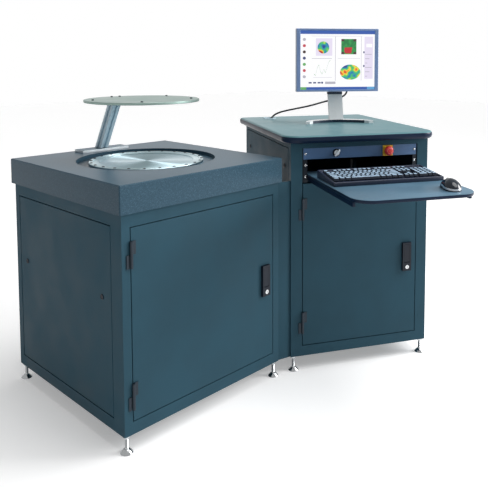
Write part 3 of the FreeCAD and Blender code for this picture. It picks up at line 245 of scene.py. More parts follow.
CORD_ROUTE = (
    (0.4981, 0.1257, 1.1), (0.4981, 0.1257, 1.072), (0.4958, 0.1375, 1.052),
    (0.4863, 0.1569, 1.04), (0.4669, 0.1891, 1.031), (0.4444, 0.2358, 1.016),
    (0.4256, 0.285, 1.0), (0.4085, 0.339, 0.987), (0.3904, 0.3913, 0.975),
    (0.3735, 0.4336, 0.964), (0.3596, 0.4614, 0.95), (0.3498, 0.4764, 0.931),
    (0.3457, 0.4812, 0.908), (0.3453, 0.4825, 0.886),
)
cord_line = bpy.data.curves.new("cord_line", "CURVE")
cord_line.dimensions = "3D"
cord_line.resolution_u = 10
cord_spline = cord_line.splines.new("NURBS")
cord_spline.points.add(len(CORD_ROUTE) - 1)
for spot, place in zip(cord_spline.points, CORD_ROUTE):
    spot.co = (*place, 1)
cord_spline.order_u = 3
cord_spline.use_endpoint_u = True
cord_guide = bpy.data.objects.new("cord_guide", cord_line)
scene.collection.objects.link(cord_guide)
bpy.context.view_layer.update()
guide_mesh = bpy.data.meshes.new_from_object(cord_guide)
cord_points = [vertex.co.copy() for vertex in guide_mesh.vertices]
bpy.data.objects.remove(cord_guide)

CORD_RADIUS = 0.004
SLEEVE_RADIUS = 0.007
SLEEVE_END_RADIUS = 0.0046
SLEEVE_RIDGE = 0.0004
SLEEVE_LENGTH = 0.024
cord_jacket = plain_finish("cord_jacket", display_colour(30, 33, 38), 0.42, mottle=0.15, grain=600)
cord_shape = bmesh.new()
add_tube(cord_shape, cord_points, [CORD_RADIUS]*len(cord_points))
cord = set_piece("cord", cord_shape, cord_jacket, None, ["monitor_cord"])
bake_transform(cord)

sleeve_points = [point for point in cord_points if CORD_ROUTE[0][2] - point.z <= SLEEVE_LENGTH]
sleeve_radii = []
for step, point in enumerate(sleeve_points):
    drop = (CORD_ROUTE[0][2] - point.z)/SLEEVE_LENGTH
    narrowed = SLEEVE_RADIUS + (SLEEVE_END_RADIUS - SLEEVE_RADIUS)*drop
    sleeve_radii.append(narrowed + SLEEVE_RIDGE*(step % 2))
sleeve_shape = bmesh.new()
add_tube(sleeve_shape, sleeve_points, sleeve_radii, sides=20)
set_piece("cord_sleeve", sleeve_shape, cord_jacket, "screen", sharp=60)

# Studio.
# A white floor that runs on into a white background, with a wide soft light overhead and a softbox
# to the front and right. Glossy surfaces also mirror a brighter patch of background at the back.
FLOOR_REACH = 14
FLOOR_PAINT = 0.86
FLOOR_GLOW = 0.31
floor_finish = new_finish("floor_paint", (FLOOR_PAINT, FLOOR_PAINT, FLOOR_PAINT, 1), 0.9)
shader_of(floor_finish).inputs["Specular IOR Level"].default_value = 0
shader_of(floor_finish).inputs["Emission Color"].default_value = (1, 1, 1, 1)
floor_tree = floor_finish.node_tree
floor_rays = floor_tree.nodes.new("ShaderNodeLightPath")
seen_or_mirrored = floor_tree.nodes.new("ShaderNodeMath")
seen_or_mirrored.operation = "MAXIMUM"
floor_tree.links.new(floor_rays.outputs["Is Camera Ray"], seen_or_mirrored.inputs[0])
floor_tree.links.new(floor_rays.outputs["Is Glossy Ray"], seen_or_mirrored.inputs[1])
floor_glow = floor_tree.nodes.new("ShaderNodeMath")
floor_glow.operation = "MULTIPLY"
floor_glow.inputs[1].default_value = FLOOR_GLOW
floor_tree.links.new(seen_or_mirrored.outputs[0], floor_glow.inputs[0])
floor_tree.links.new(floor_glow.outputs[0], shader_of(floor_finish).inputs["Emission Strength"])
floor_shape = bmesh.new()
bmesh.ops.create_grid(floor_shape, x_segments=2, y_segments=2, size=FLOOR_REACH)
floor = set_piece("floor", floor_shape, floor_finish, None)
floor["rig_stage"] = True

world = bpy.data.worlds.new("studio")
world.use_nodes = True
scene.world = world
world_tree = world.node_tree
sky = world_tree.nodes["Background"]
sky.inputs["Color"].default_value = (1, 1, 1, 1)
WORLD_LEVEL = 0.22
MIRRORED_LEVELS = (0.3, 0.8)
BRIGHT_PATCH_EDGE = 0.9
BEHIND = Vector((0.574, 0.819, 0.16)).normalized()
direction = world_tree.nodes.new("ShaderNodeTexCoord")
towards_back = world_tree.nodes.new("ShaderNodeVectorMath")
towards_back.operation = "DOT_PRODUCT"
towards_back.inputs[1].default_value = BEHIND
bright_back = world_tree.nodes.new("ShaderNodeMapRange")
bright_back.interpolation_type = "SMOOTHSTEP"
bright_back.inputs["From Min"].default_value = BRIGHT_PATCH_EDGE
bright_back.inputs["From Max"].default_value = 1
bright_back.inputs["To Min"].default_value = MIRRORED_LEVELS[0]
bright_back.inputs["To Max"].default_value = MIRRORED_LEVELS[1]
world_rays = world_tree.nodes.new("ShaderNodeLightPath")
brightest = world_tree.nodes.new("ShaderNodeMath")
brightest.operation = "MAXIMUM"
mirrored = world_tree.nodes.new("ShaderNodeMath")
mirrored.operation = "MULTIPLY_ADD"
mirrored.inputs[2].default_value = WORLD_LEVEL
clear_rays = world_tree.nodes.new("ShaderNodeMath")
clear_rays.operation = "MAXIMUM"
world_tree.links.new(direction.outputs["Generated"], towards_back.inputs[0])
world_tree.links.new(towards_back.outputs["Value"], bright_back.inputs["Value"])
world_tree.links.new(world_rays.outputs["Is Glossy Ray"], mirrored.inputs[0])
world_tree.links.new(bright_back.outputs["Result"], mirrored.inputs[1])
world_tree.links.new(world_rays.outputs["Is Camera Ray"], clear_rays.inputs[0])
world_tree.links.new(world_rays.outputs["Is Transmission Ray"], clear_rays.inputs[1])
world_tree.links.new(clear_rays.outputs[0], brightest.inputs[0])
world_tree.links.new(mirrored.outputs[0], brightest.inputs[1])
world_tree.links.new(brightest.outputs[0], sky.inputs["Strength"])


def add_light(name, kind, place, target, power):
    """A white lamp that points at a target."""
    data = bpy.data.lights.new(name, kind)
    data.energy = power
    lamp = bpy.data.objects.new(name, data)
    lamp.location = place
    lamp.rotation_euler = (Vector(target) - Vector(place)).to_track_quat("-Z", "Y").to_euler()
    scene.collection.objects.link(lamp)
    return data


SUN_STRENGTH = 1.85
SUN_SPREAD = 45
SOFTBOX_POWER = 190
SOFTBOX_SIZE = 2.2
overhead = add_light("overhead", "SUN", (1.0, -0.9, 4), (0, 0, 0), SUN_STRENGTH)
overhead.angle = math.radians(SUN_SPREAD)
softbox = add_light("softbox", "AREA", (3.1, -2.7, 2.4), (-0.3, 0, 0.4), SOFTBOX_POWER)
softbox.size = SOFTBOX_SIZE


def keep_node(name, material):
    """Gives a CAD node that stays as it is a better finish."""
    node = nodes[name]
    if not node.material_slots:
        node.data.materials.append(material)
    for holder in node.material_slots:
        holder.material = material


MERGE_REACH = 0.00001
FLAT_ANGLE = 1


def merged_copy(name):
    """A CAD node's mesh with its loose triangles joined into whole faces."""
    shape = bmesh.new()
    shape.from_mesh(nodes[name].data)
    bmesh.ops.remove_doubles(shape, verts=shape.verts, dist=MERGE_REACH)
    bmesh.ops.dissolve_limit(shape, angle_limit=math.radians(FLAT_ANGLE), verts=shape.verts,
                             edges=shape.edges)
    return shape


ROUNDED_ANGLE = 40


def eased(name, radius, material, segments=2):
    """A CAD node with its edges rounded, in place of the node."""
    shape = merged_copy(name)
    piece = set_piece(name + "_finish", shape, material, nodes[name]["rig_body"], [name])
    edge = piece.modifiers.new("edge", "BEVEL")
    edge.width = radius
    edge.segments = segments
    edge.limit_method = "ANGLE"
    edge.angle_limit = math.radians(ROUNDED_ANGLE)
    edge.harden_normals = True
    return piece


cabinet_paint = plain_finish("cabinet_paint", display_colour(47, 80, 95), 0.52, mottle=0.05,
                             grain=700, shine=0.12)
rack_black = plain_finish("rack_black", display_colour(16, 26, 36), 0.5, shine=0.3)
for name in ("station_frame", "console_frame", "station_floor_pan", "console_floor_pan"):
    keep_node(name, cabinet_paint)
for name in ("rack_rails", "slide_rails", "computer"):
    keep_node(name, rack_black)
PANEL_EDGE = 0.0014
for name in ("station_left_panel", "station_right_panel", "station_back_panel", "station_door",
             "console_left_panel", "console_right_panel", "console_back_panel", "console_door",
             "bridge_panel"):
    eased(name, PANEL_EDGE, cabinet_paint)

# Hinges, latches and locks.
# Steel lift-off hinges, and black latches with a lever that lifts out of its pocket above a bright
# key cylinder, whose keyway is a dark block of painted shade. Round black studs with a slot hold the
# side panels; each slot is a dark bar of painted shade.
hinge_steel = plain_finish("hinge_steel", display_colour(30, 44, 56), 0.4, 0.3, grain=500)
black_moulding = plain_finish("black_moulding", display_colour(14, 24, 38), 0.42, mottle=0.12,
                              shine=0.3)
bright_steel = plain_finish("bright_steel", display_colour(205, 208, 210), 0.16, 1.0, mottle=0.04,
                            grain=300, depth=0.00004)
# Keyways, slots and screw sockets are thin dark solids: painted shade standing in for their hollows.
recess_painted_shade = plain_finish("recess_painted_shade", display_colour(12, 13, 16), 0.6)
for name in ("hinge_pins", "station_hinge_barrels", "console_hinge_barrels", "door_keepers"):
    keep_node(name, hinge_steel)
for cabinet in ("station", "console"):
    eased(cabinet + "_latch_body", 0.0014, black_moulding)
    eased(cabinet + "_latch_lever", 0.001, black_moulding)
    eased(cabinet + "_lock_cylinder", 0.0005, bright_steel)


def add_block(shape, low, high, edge=0.0, segments=2):
    """A block between two corners with rounded edges."""
    size = Vector(high) - Vector(low)
    middle = (Vector(high) + Vector(low))/2
    place = Matrix.Translation(middle) @ Matrix.Diagonal((*size, 1))
    made = bmesh.ops.create_cube(shape, size=1, matrix=place)["verts"]
    if edge:
        edges = list({line for vert in made for line in vert.link_edges})
        made = bmesh.ops.bevel(shape, geom=edges, offset=edge, offset_type="OFFSET", affect="EDGES",
                               segments=segments, profile=0.5, material=-1)["verts"]
    return made


def add_turned(shape, profile, place, steps=40):
    """A shape turned about the z axis of its place, from pairs of radius and height."""
    verts = [shape.verts.new(place @ Vector((radius, 0, height))) for radius, height in profile]
    edges = [shape.edges.new(pair) for pair in zip(verts, verts[1:])]
    bmesh.ops.spin(shape, geom=verts + edges, cent=place.translation,
                   axis=place.to_3x3() @ Vector((0, 0, 1)), angle=math.tau, steps=steps,
                   use_merge=True)


STATION = Matrix.Translation((-0.828188, -0.038267, 0))
CONSOLE = Matrix.Translation((-0.077188, -0.044267, 0)) @ Matrix.Rotation(
    math.radians(-30.3), 4, "Z")
ALONG_FRONT = Matrix.Rotation(math.radians(90), 4, "X")
LOCKS = (("station", STATION, (0.624, -0.0001, 0.355), "station_lock"),
         ("console", CONSOLE, (0.493, -0.0111, 0.376), "console_lock"))
LOCK_FACE = 0.002
KEYWAY_LOW = (-0.0008, -0.0003, -0.0042)
KEYWAY_HIGH = (0.0008, 0.0004, 0.0042)
KEYWAY_EDGE = 0.0002
# Each key cylinder gets a dark keyway block, painted shade for the slot.
for cabinet, place, (x, y, z), body in LOCKS:
    keyway = bmesh.new()
    add_block(keyway, KEYWAY_LOW, KEYWAY_HIGH, KEYWAY_EDGE)
    face = place @ Matrix.Translation((x, y - LOCK_FACE, z))
    set_piece(cabinet + "_keyway", keyway, recess_painted_shade, body, place=face)

STUD_PLACES = (
    (STATION, 0.011, 0.699, (0.126, 0.639), 0.476), (CONSOLE, 0, 0.584, (0.085, 0.647), 0.802))
STUD_PROFILE = ((0, 0.0018), (0.0056, 0.0018), (0.0064, 0.0025), (0.0078, 0.0025), (0.009, 0.0015),
                (0.009, 0), (0, 0))
STUD_SLOT_LOW = (-0.0045, -0.0007, 0.0015)
STUD_SLOT_HIGH = (0.0045, 0.0007, 0.0021)
# Each stud's slot is a dark bar, painted shade for the hollow.
studs = bmesh.new()
stud_slots = bmesh.new()
for place, left, right, depths, height in STUD_PLACES:
    for x, outward in ((left, -90), (right, 90)):
        for y in depths:
            stud = (place @ Matrix.Translation((x, y, height))
                    @ Matrix.Rotation(math.radians(outward), 4, "Y"))
            add_turned(studs, STUD_PROFILE, stud, 28)
            marks = add_block(stud_slots, STUD_SLOT_LOW, STUD_SLOT_HIGH)
            bmesh.ops.transform(stud_slots, matrix=stud, verts=marks)
set_piece("panel_studs", studs, black_moulding, "root", ["panel_locks"])
set_piece("panel_stud_slots", stud_slots, recess_painted_shade, "root")

# Levelling feet.
# Chromed swivel pads on threaded studs. A lock nut under the frame holds each at its height.
FOOT_SPOTS = ((STATION, (0.026, 0.684), (0.026, 0.709)), (CONSOLE, (0.015, 0.569), (0.015, 0.717)))
PAD_PROFILE = ((0, 0), (0.0195, 0), (0.021, 0.0012), (0.0205, 0.0026), (0.0132, 0.0092),
               (0.011, 0.012), (0.0088, 0.0136), (0.0072, 0.0142), (0.006, 0.016))
THREAD_START = 0.0165
THREAD_TOP = 0.058
THREAD_PITCH = 0.00175
THREAD_RADIUS = 0.006
THREAD_ROOT = 0.0053
NUT_RADIUS = 0.012
NUT_DEPTH = 0.009
NUT_MIDDLE = 0.0535
NUT_EDGE = 0.0008
feet = bmesh.new()
for place, columns, rows in FOOT_SPOTS:
    for x in columns:
        for y in rows:
            profile = list(PAD_PROFILE)
            height = THREAD_START
            while height < THREAD_TOP - THREAD_PITCH:
                profile += [(THREAD_RADIUS, height), (THREAD_ROOT, height + THREAD_PITCH/2)]
                height += THREAD_PITCH
            profile += [(THREAD_RADIUS, THREAD_TOP), (0, THREAD_TOP)]
            add_turned(feet, profile, place @ Matrix.Translation((x, y, 0)), 24)
            nut = bmesh.ops.create_cone(
                feet, cap_ends=True, segments=6, radius1=NUT_RADIUS, radius2=NUT_RADIUS,
                depth=NUT_DEPTH, matrix=place @ Matrix.Translation((x, y, NUT_MIDDLE)))["verts"]
            rims = list({line for vert in nut for line in vert.link_edges})
            bmesh.ops.bevel(feet, geom=rims, offset=NUT_EDGE, offset_type="OFFSET", affect="EDGES",
                            segments=1, profile=0.5, material=-1)
set_piece("feet", feet, bright_steel, "root", ["levelling_feet"])

# Granite plate.
# A block of fine-grained granite, lapped on top and ground on its sides, with light and dark
# crystals. It lies on four rubber pads and carries the whole measuring head.
granite = new_finish("granite", display_colour(50, 77, 92), 0.34)
shader_of(granite).inputs["Specular IOR Level"].default_value = 0.15
coarse = spots(granite, "ShaderNodeTexNoise", 300)
coarse.inputs["Detail"].default_value = 5
coarse.inputs["Roughness"].default_value = 0.65
crystals = spots(granite, "ShaderNodeTexVoronoi", 480)
granite_tree = granite.node_tree
CRYSTAL_SHARE = 0.25
blend_grain = granite_tree.nodes.new("ShaderNodeMath")
blend_grain.operation = "MULTIPLY_ADD"
blend_grain.inputs[1].default_value = CRYSTAL_SHARE
granite_tree.links.new(crystals.outputs["Distance"], blend_grain.inputs[0])
granite_tree.links.new(coarse.outputs["Fac"], blend_grain.inputs[2])
colour_by(granite, blend_grain.outputs[0], (
    (0.42, display_colour(44, 69, 85)), (0.56, display_colour(52, 80, 96)),
    (0.7, display_colour(56, 84, 101)), (0.8, display_colour(74, 102, 118))))
gloss_by(granite, coarse.outputs["Fac"], 0.28, 0.38)
relief_by(granite, coarse.outputs["Fac"], 0.00003)
keep_node("granite_plate", granite)
pad_rubber = plain_finish("pad_rubber", display_colour(28, 29, 31), 0.8)
keep_node("granite_pads", pad_rubber)

# Aperture ring, clamp ring and reference plate.
# Turned and clear-anodised rings with a ring of black screws, round a lapped flat whose fine turning
# marks catch the light as a bright fan.
AXIS = Vector((-0.473188, 0.329233, 0))
MARK_DARKNESS = 0.15
MARK_DEPTH = 0.00002


def turned_metal(name, colour, roughness, bands):
    """Metal with circular turning marks about the measuring head's axis."""
    material = new_finish(name, colour, roughness, 1.0)
    tree = material.node_tree
    where = tree.nodes.new("ShaderNodeTexCoord")
    from_axis = tree.nodes.new("ShaderNodeVectorMath")
    from_axis.operation = "SUBTRACT"
    from_axis.inputs[1].default_value = AXIS
    flatten = tree.nodes.new("ShaderNodeVectorMath")
    flatten.operation = "MULTIPLY"
    flatten.inputs[1].default_value = (1, 1, 0)
    unit = tree.nodes.new("ShaderNodeVectorMath")
    unit.operation = "NORMALIZE"
    radius = tree.nodes.new("ShaderNodeVectorMath")
    radius.operation = "LENGTH"
    marks = tree.nodes.new("ShaderNodeTexNoise")
    marks.noise_dimensions = "1D"
    marks.inputs["Scale"].default_value = bands
    marks.inputs["Detail"].default_value = 3
    tree.links.new(where.outputs["Object"], from_axis.inputs[0])
    tree.links.new(from_axis.outputs[0], flatten.inputs[0])
    tree.links.new(flatten.outputs[0], unit.inputs[0])
    tree.links.new(unit.outputs[0], shader_of(material).inputs["Tangent"])
    tree.links.new(flatten.outputs[0], radius.inputs[0])
    tree.links.new(radius.outputs["Value"], marks.inputs["W"])
    shader_of(material).inputs["Anisotropic"].default_value = 0.95
    darker = [value*(1 - MARK_DARKNESS) for value in colour[:3]]
    colour_by(material, marks.outputs["Fac"], ((0.35, (*darker, 1)), (0.65, colour)))
    relief_by(material, marks.outputs["Fac"], MARK_DEPTH)
    return material


ring_metal = turned_metal("ring_metal", display_colour(216, 238, 244), 0.38, 900)
flat_metal = turned_metal("flat_metal", display_colour(208, 232, 240), 0.42, 1500)
eased("aperture_ring", 0.0006, ring_metal)
eased("clamp_ring", 0.0005, ring_metal)
keep_node("reference_plate", flat_metal)
SCREW_COUNT = 24
SCREW_CIRCLE = 0.2035
RING_TOP = 0.846
RING_SCREW_PROFILE = ((0.0026, 0.0014), (0.0046, 0.0014), (0.0054, 0.0008), (0.0054, 0))
RING_SOCKET_HEIGHT = 0.0006
RING_SOCKET_RADIUS = 0.003
ring_screws = bmesh.new()
# Each screw's socket is a flat dark hexagon, painted shade for the hollow.
screw_sockets = bmesh.new()
for number in range(SCREW_COUNT):
    angle = math.tau*(number + 0.5)/SCREW_COUNT
    spot = Matrix.Translation(AXIS) @ Matrix.Rotation(angle, 4, "Z") @ Matrix.Translation(
        (SCREW_CIRCLE, 0, RING_TOP))
    add_turned(ring_screws, RING_SCREW_PROFILE, spot, 16)
    bmesh.ops.create_circle(screw_sockets, cap_ends=True, segments=6, radius=RING_SOCKET_RADIUS,
                            matrix=spot @ Matrix.Translation((0, 0, RING_SOCKET_HEIGHT)))
set_piece("ring_screws", ring_screws, black_moulding, "root")
set_piece("ring_screw_sockets", screw_sockets, recess_painted_shade, "root")

# Arm and shield disc.
# A slate-anodised slotted bar leans forward from a bright metal foot plate whose top is painted dark
# slate as painted shade, and holds a satin disc over the aperture. Six low screws show on top of the
# disc.
foot_metal = plain_finish("foot_metal", display_colour(228, 234, 238), 0.3, 0.4, mottle=0.03)
# Dark slate for the foot plate's top faces: painted shade on the same bright metal.
foot_top_painted_shade = plain_finish("foot_top_painted_shade", display_colour(84, 108, 122), 0.4, 0.4, mottle=0.05)
slate_anodised = plain_finish("slate_anodised", display_colour(204, 226, 238), 0.42, 0.1,
                              mottle=0.05)
disc_finish = plain_finish("disc_metal", display_colour(146, 167, 161), 0.4, 1.0, mottle=0.03,
                           grain=500, depth=0.00001)
arm_base = eased("arm_base", 0.0012, foot_metal)
arm_base.data.materials.append(foot_top_painted_shade)
# Faces that look up take the dark colour as painted shade.
for face in arm_base.data.polygons:
    if face.normal.z > 0.5:
        face.material_index = 1
eased("arm_post", 0.0008, slate_anodised)
eased("shield_disc", 0.0005, disc_finish, segments=1)
DISC = Vector((-0.473188, 0.352733, 1.073))
DISC_SCREW_CIRCLE = 0.182
DISC_SCREW_ANGLES = (24, 160, 235, 321)
DISC_SCREW_PROFILE = ((0.0022, 0.0035), (0.0038, 0.0035), (0.0045, 0.0028), (0.0045, 0))
DISC_SOCKET_HEIGHT = 0.0022
DISC_SOCKET_RADIUS = 0.0028
POST_LEAN = math.radians(29)
POST_HEIGHT = 1.064 - 0.86
POST_FOOT_BEHIND_DISC = 0.686 - 0.391
POST_SCREW_REACH = 0.018
disc_screws = bmesh.new()
# Each disc screw's socket is a flat dark hexagon, painted shade for the hollow.
disc_sockets = bmesh.new()
screw_spots = [(DISC_SCREW_CIRCLE*math.cos(math.radians(angle)),
                DISC_SCREW_CIRCLE*math.sin(math.radians(angle))) for angle in DISC_SCREW_ANGLES]
head_y = POST_FOOT_BEHIND_DISC - POST_HEIGHT*math.tan(POST_LEAN)
screw_spots += [(POST_SCREW_REACH, head_y), (-POST_SCREW_REACH, head_y)]
for x, y in screw_spots:
    spot = Matrix.Translation(DISC + Vector((x, y, 0)))
    add_turned(disc_screws, DISC_SCREW_PROFILE, spot, 20)
    bmesh.ops.create_circle(disc_sockets, cap_ends=True, segments=6, radius=DISC_SOCKET_RADIUS,
                            matrix=spot @ Matrix.Translation((0, 0, DISC_SOCKET_HEIGHT)))
set_piece("disc_screw_heads", disc_screws, hinge_steel, "root", ["disc_screws"])
set_piece("disc_screw_sockets", disc_sockets, recess_painted_shade, "root")

# Optics.
# A painted cone with its lens hangs under the granite, over a closed housing with the light source
# and the camera. None of it shows while the cabinet is shut.
optics_steel = plain_finish("optics_steel", display_colour(148, 152, 156), 0.42, 0.7)
lens_glass = new_finish("lens_glass", display_colour(236, 246, 246), 0.03)
shader_of(lens_glass).inputs["Transmission Weight"].default_value = 1
shader_of(lens_glass).inputs["IOR"].default_value = 1.5
relief_by(lens_glass, spots(lens_glass, "ShaderNodeTexNoise", 20).outputs["Fac"], 0.00001)
for name in ("optics_barrel", "optics_base"):
    keep_node(name, optics_steel)
keep_node("collimator_lens", lens_glass)
keep_node("laser_module", black_moulding)
keep_node("camera_module", black_moulding)

# Worktop and grommet.
# A board with a satin grey-green laminate and a dark moulded edge, with round corners at the front.
# The grommet is a grey moulded ring with a lip.
laminate = new_finish("laminate", display_colour(96, 140, 146), 0.3)
shader_of(laminate).inputs["Specular IOR Level"].default_value = 0.12
fine_print = spots(laminate, "ShaderNodeTexNoise", 700)
colour_by(laminate, fine_print.outputs["Fac"], (
    (0.3, display_colour(92, 134, 141)), (0.7, display_colour(95, 138, 145))))
gloss_by(laminate, spots(laminate, "ShaderNodeTexNoise", 12).outputs["Fac"], 0.28, 0.33)
relief_by(laminate, fine_print.outputs["Fac"], 0.000002)
# Dark colour for moulded edges; on the tray's underside it is painted shade.
edge_moulding_and_under_shade = plain_finish("edge_moulding_and_under_shade", display_colour(14, 34, 60), 0.34, mottle=0.05, shine=0.2)
worktop = eased("worktop", 0.0035, laminate, segments=3)
worktop.data.materials.append(edge_moulding_and_under_shade)
for face in worktop.data.polygons:
    if face.normal.z < 0.5:
        face.material_index = 1
GROMMET = (0.346176, 0.482028, 0.931)
grommet_plastic = plain_finish("grommet_plastic", display_colour(180, 202, 212), 0.4)
GROMMET_PROFILE = ((0.024, -0.03), (0.0276, -0.03), (0.0276, 0), (0.032, 0), (0.0318, 0.0012),
                   (0.0305, 0.0025), (0.0285, 0.003), (0.0258, 0.003), (0.0245, 0.0024),
                   (0.024, 0.0012), (0.024, -0.03))
grommet = bmesh.new()
add_turned(grommet, GROMMET_PROFILE, Matrix.Translation(GROMMET))
set_piece("grommet", grommet, grommet_plastic, "root", ["cable_grommet"])

# Control panel.
# A slate-blue front plate in the top unit of the rack bay, held by chromed screws with cross slots.
# It carries the selector switch and the emergency stop.
panel_paint = plain_finish("panel_paint", display_colour(72, 108, 150), 0.42, mottle=0.05)
eased("control_panel", 0.0005, panel_paint)
SCREW_FRONT = 0.002
RACK_COLUMNS = (0.05945, 0.52455)
RACK_FLOOR = 0.7466
RACK_UNIT = 0.04445
TOP_UNIT = RACK_FLOOR + RACK_UNIT*2.5
RACK_SCREW_PROFILE = ((0, 0.003), (0.0022, 0.0029), (0.004, 0.0022), (0.005, 0.0008), (0.005, 0),
                      (0, 0))
CROSS_LONG = 0.0026
CROSS_NARROW = 0.0005
CROSS_FLOOR = 0.0024
CROSS_TOP = 0.00305
rack_screw_heads = bmesh.new()
# The cross slots are dark bars, painted shade for the hollows.
cross_slots = bmesh.new()
for x in RACK_COLUMNS:
    for unit in range(3):
        z = TOP_UNIT - RACK_UNIT*unit
        spot = CONSOLE @ Matrix.Translation((x, SCREW_FRONT, z)) @ ALONG_FRONT
        add_turned(rack_screw_heads, RACK_SCREW_PROFILE, spot, 24)
        for wide, high in ((CROSS_LONG, CROSS_NARROW), (CROSS_NARROW, CROSS_LONG)):
            bar = add_block(cross_slots, (-wide, -high, CROSS_FLOOR), (wide, high, CROSS_TOP))
            bmesh.ops.transform(cross_slots, matrix=spot, verts=bar)
set_piece("rack_screw_heads", rack_screw_heads, bright_steel, "root", ["rack_screws"])
set_piece("rack_screw_slots", cross_slots, recess_painted_shade, "root")

# Emergency stop.
# A red mushroom button on a sprung stem, in front of a yellow square collar.
stop_yellow = plain_finish("stop_yellow", display_colour(238, 190, 52), 0.35, mottle=0.05)
stop_red = plain_finish("stop_red", display_colour(226, 56, 58), 0.28, mottle=0.06)
stop_mark = plain_finish("stop_mark", display_colour(240, 130, 120), 0.4, mottle=0.05)
eased("estop_collar", 0.0012, stop_yellow)
STOP_SPOT = (0.405, SCREW_FRONT, TOP_UNIT)
MUSHROOM_PROFILE = ((0, 0.0246), (0.008, 0.0242), (0.0135, 0.023), (0.0172, 0.0205),
                    (0.019, 0.0168), (0.019, 0.0142), (0.0176, 0.012), (0.0146, 0.0116),
                    (0.0108, 0.0116), (0.0108, -0.0036), (0, -0.0036))
STOP_RING_PROFILE = ((0.0092, 0.0238), (0.0096, 0.0243), (0.0112, 0.0239), (0.0114, 0.0233))
stop_axis = CONSOLE @ Matrix.Translation(STOP_SPOT) @ ALONG_FRONT
mushroom = bmesh.new()
add_turned(mushroom, MUSHROOM_PROFILE, stop_axis, 48)
set_piece("stop_button", mushroom, stop_red, "estop", ["estop_button"])
stop_ring = bmesh.new()
add_turned(stop_ring, STOP_RING_PROFILE, stop_axis)
set_piece("stop_button_ring", stop_ring, stop_mark, "estop")

# Selector switch.
# A black bezel screwed into the panel, with a bright grip that turns in it.
SELECTOR_SPOT = (0.186, SCREW_FRONT, TOP_UNIT)
BEZEL_PROFILE = ((0.0112, 0), (0.015, 0), (0.015, 0.0045), (0.0136, 0.0066), (0.0122, 0.007),
                 (0.0112, 0.0066), (0.0112, 0))
selector_axis = CONSOLE @ Matrix.Translation(SELECTOR_SPOT) @ ALONG_FRONT
bezel = bmesh.new()
add_turned(bezel, BEZEL_PROFILE, selector_axis)
set_piece("selector_ring", bezel, black_moulding, "root", ["selector_bezel"])
grip_metal = plain_finish("grip_metal", display_colour(214, 220, 224), 0.3, 0.85, mottle=0.04)
eased("selector_lever", 0.0012, grip_metal)

# Keyboard tray.
# A satin slate board with wide round front corners and dark edges, on runners that slide in the
# console's rails.
tray_paint = plain_finish("tray_paint", display_colour(86, 121, 143), 0.38, mottle=0.05)
tray = bmesh.new()
TRAY_LOW = Vector((0.068, -0.484, 0.767))
TRAY_HIGH = Vector((0.516, 0.06, 0.779))
TRAY_CORNER = 0.07
TRAY_EDGE = 0.0015
RUNNER_LEFTS = (0.0723, 0.5017)
RUNNER_WIDTH = 0.01
RUNNER_FRONT = -0.43
RUNNER_LOW = 0.749
RUNNER_EDGE = 0.0006
add_block(tray, TRAY_LOW, TRAY_HIGH)
front_corners = [line for line in tray.edges
                 if all(vert.co.y < 0 for vert in line.verts)
                 and abs(line.verts[0].co.z - line.verts[1].co.z) > 0.01]
bmesh.ops.bevel(tray, geom=front_corners, offset=TRAY_CORNER, offset_type="OFFSET", affect="EDGES",
                segments=14, profile=0.5, material=-1)
rims = [line for line in tray.edges if line.calc_face_angle(0) > math.radians(60)]
bmesh.ops.bevel(tray, geom=rims, offset=TRAY_EDGE, offset_type="OFFSET", affect="EDGES",
                segments=2, profile=0.5, material=-1)
for left in RUNNER_LEFTS:
    add_block(tray, (left, RUNNER_FRONT, RUNNER_LOW),
              (left + RUNNER_WIDTH, TRAY_HIGH.y, TRAY_LOW.z), RUNNER_EDGE)
bmesh.ops.recalc_face_normals(tray, faces=tray.faces)
# Faces that don't look up take the dark colour: dark edging on the rims, painted shade on the
# underside.
for face in tray.faces:
    face.material_index = 0 if face.normal.z > 0.3 else 1
set_piece("tray", tray, [tray_paint, edge_moulding_and_under_shade], "drawer", ["keyboard_tray"],
          place=CONSOLE)

# Keyboard.
# A dark wedge-shaped case with a sunk well, and dark caps that taper to their tops. Each cap top is
# painted light grey-blue as a painted reflection, and its sides keep the dark. Each cap stands on its
# own stem.
KEYBOARD_LEFT = 0.077
KEYBOARD_FRONT = -0.258
KEYBOARD_DEPTH = 0.178
KEYBOARD_RISE = 0.015
KEYBOARD_SLOPE = math.atan(KEYBOARD_RISE/KEYBOARD_DEPTH)
DECK_FRONT = (KEYBOARD_LEFT, KEYBOARD_FRONT, 0.794)
DECK = CONSOLE @ Matrix.Translation(DECK_FRONT) @ Matrix.Rotation(KEYBOARD_SLOPE, 4, "X")
CASE_WIDTH = 0.43
CASE_DECK = KEYBOARD_DEPTH/math.cos(KEYBOARD_SLOPE)
CASE_BLOCK = 0.03
CASE_EDGE = 0.002
WELL_MARGIN = 0.009
WELL_DEPTH = 0.006
case_plastic = plain_finish("case_plastic", display_colour(34, 44, 66), 0.4, mottle=0.08)
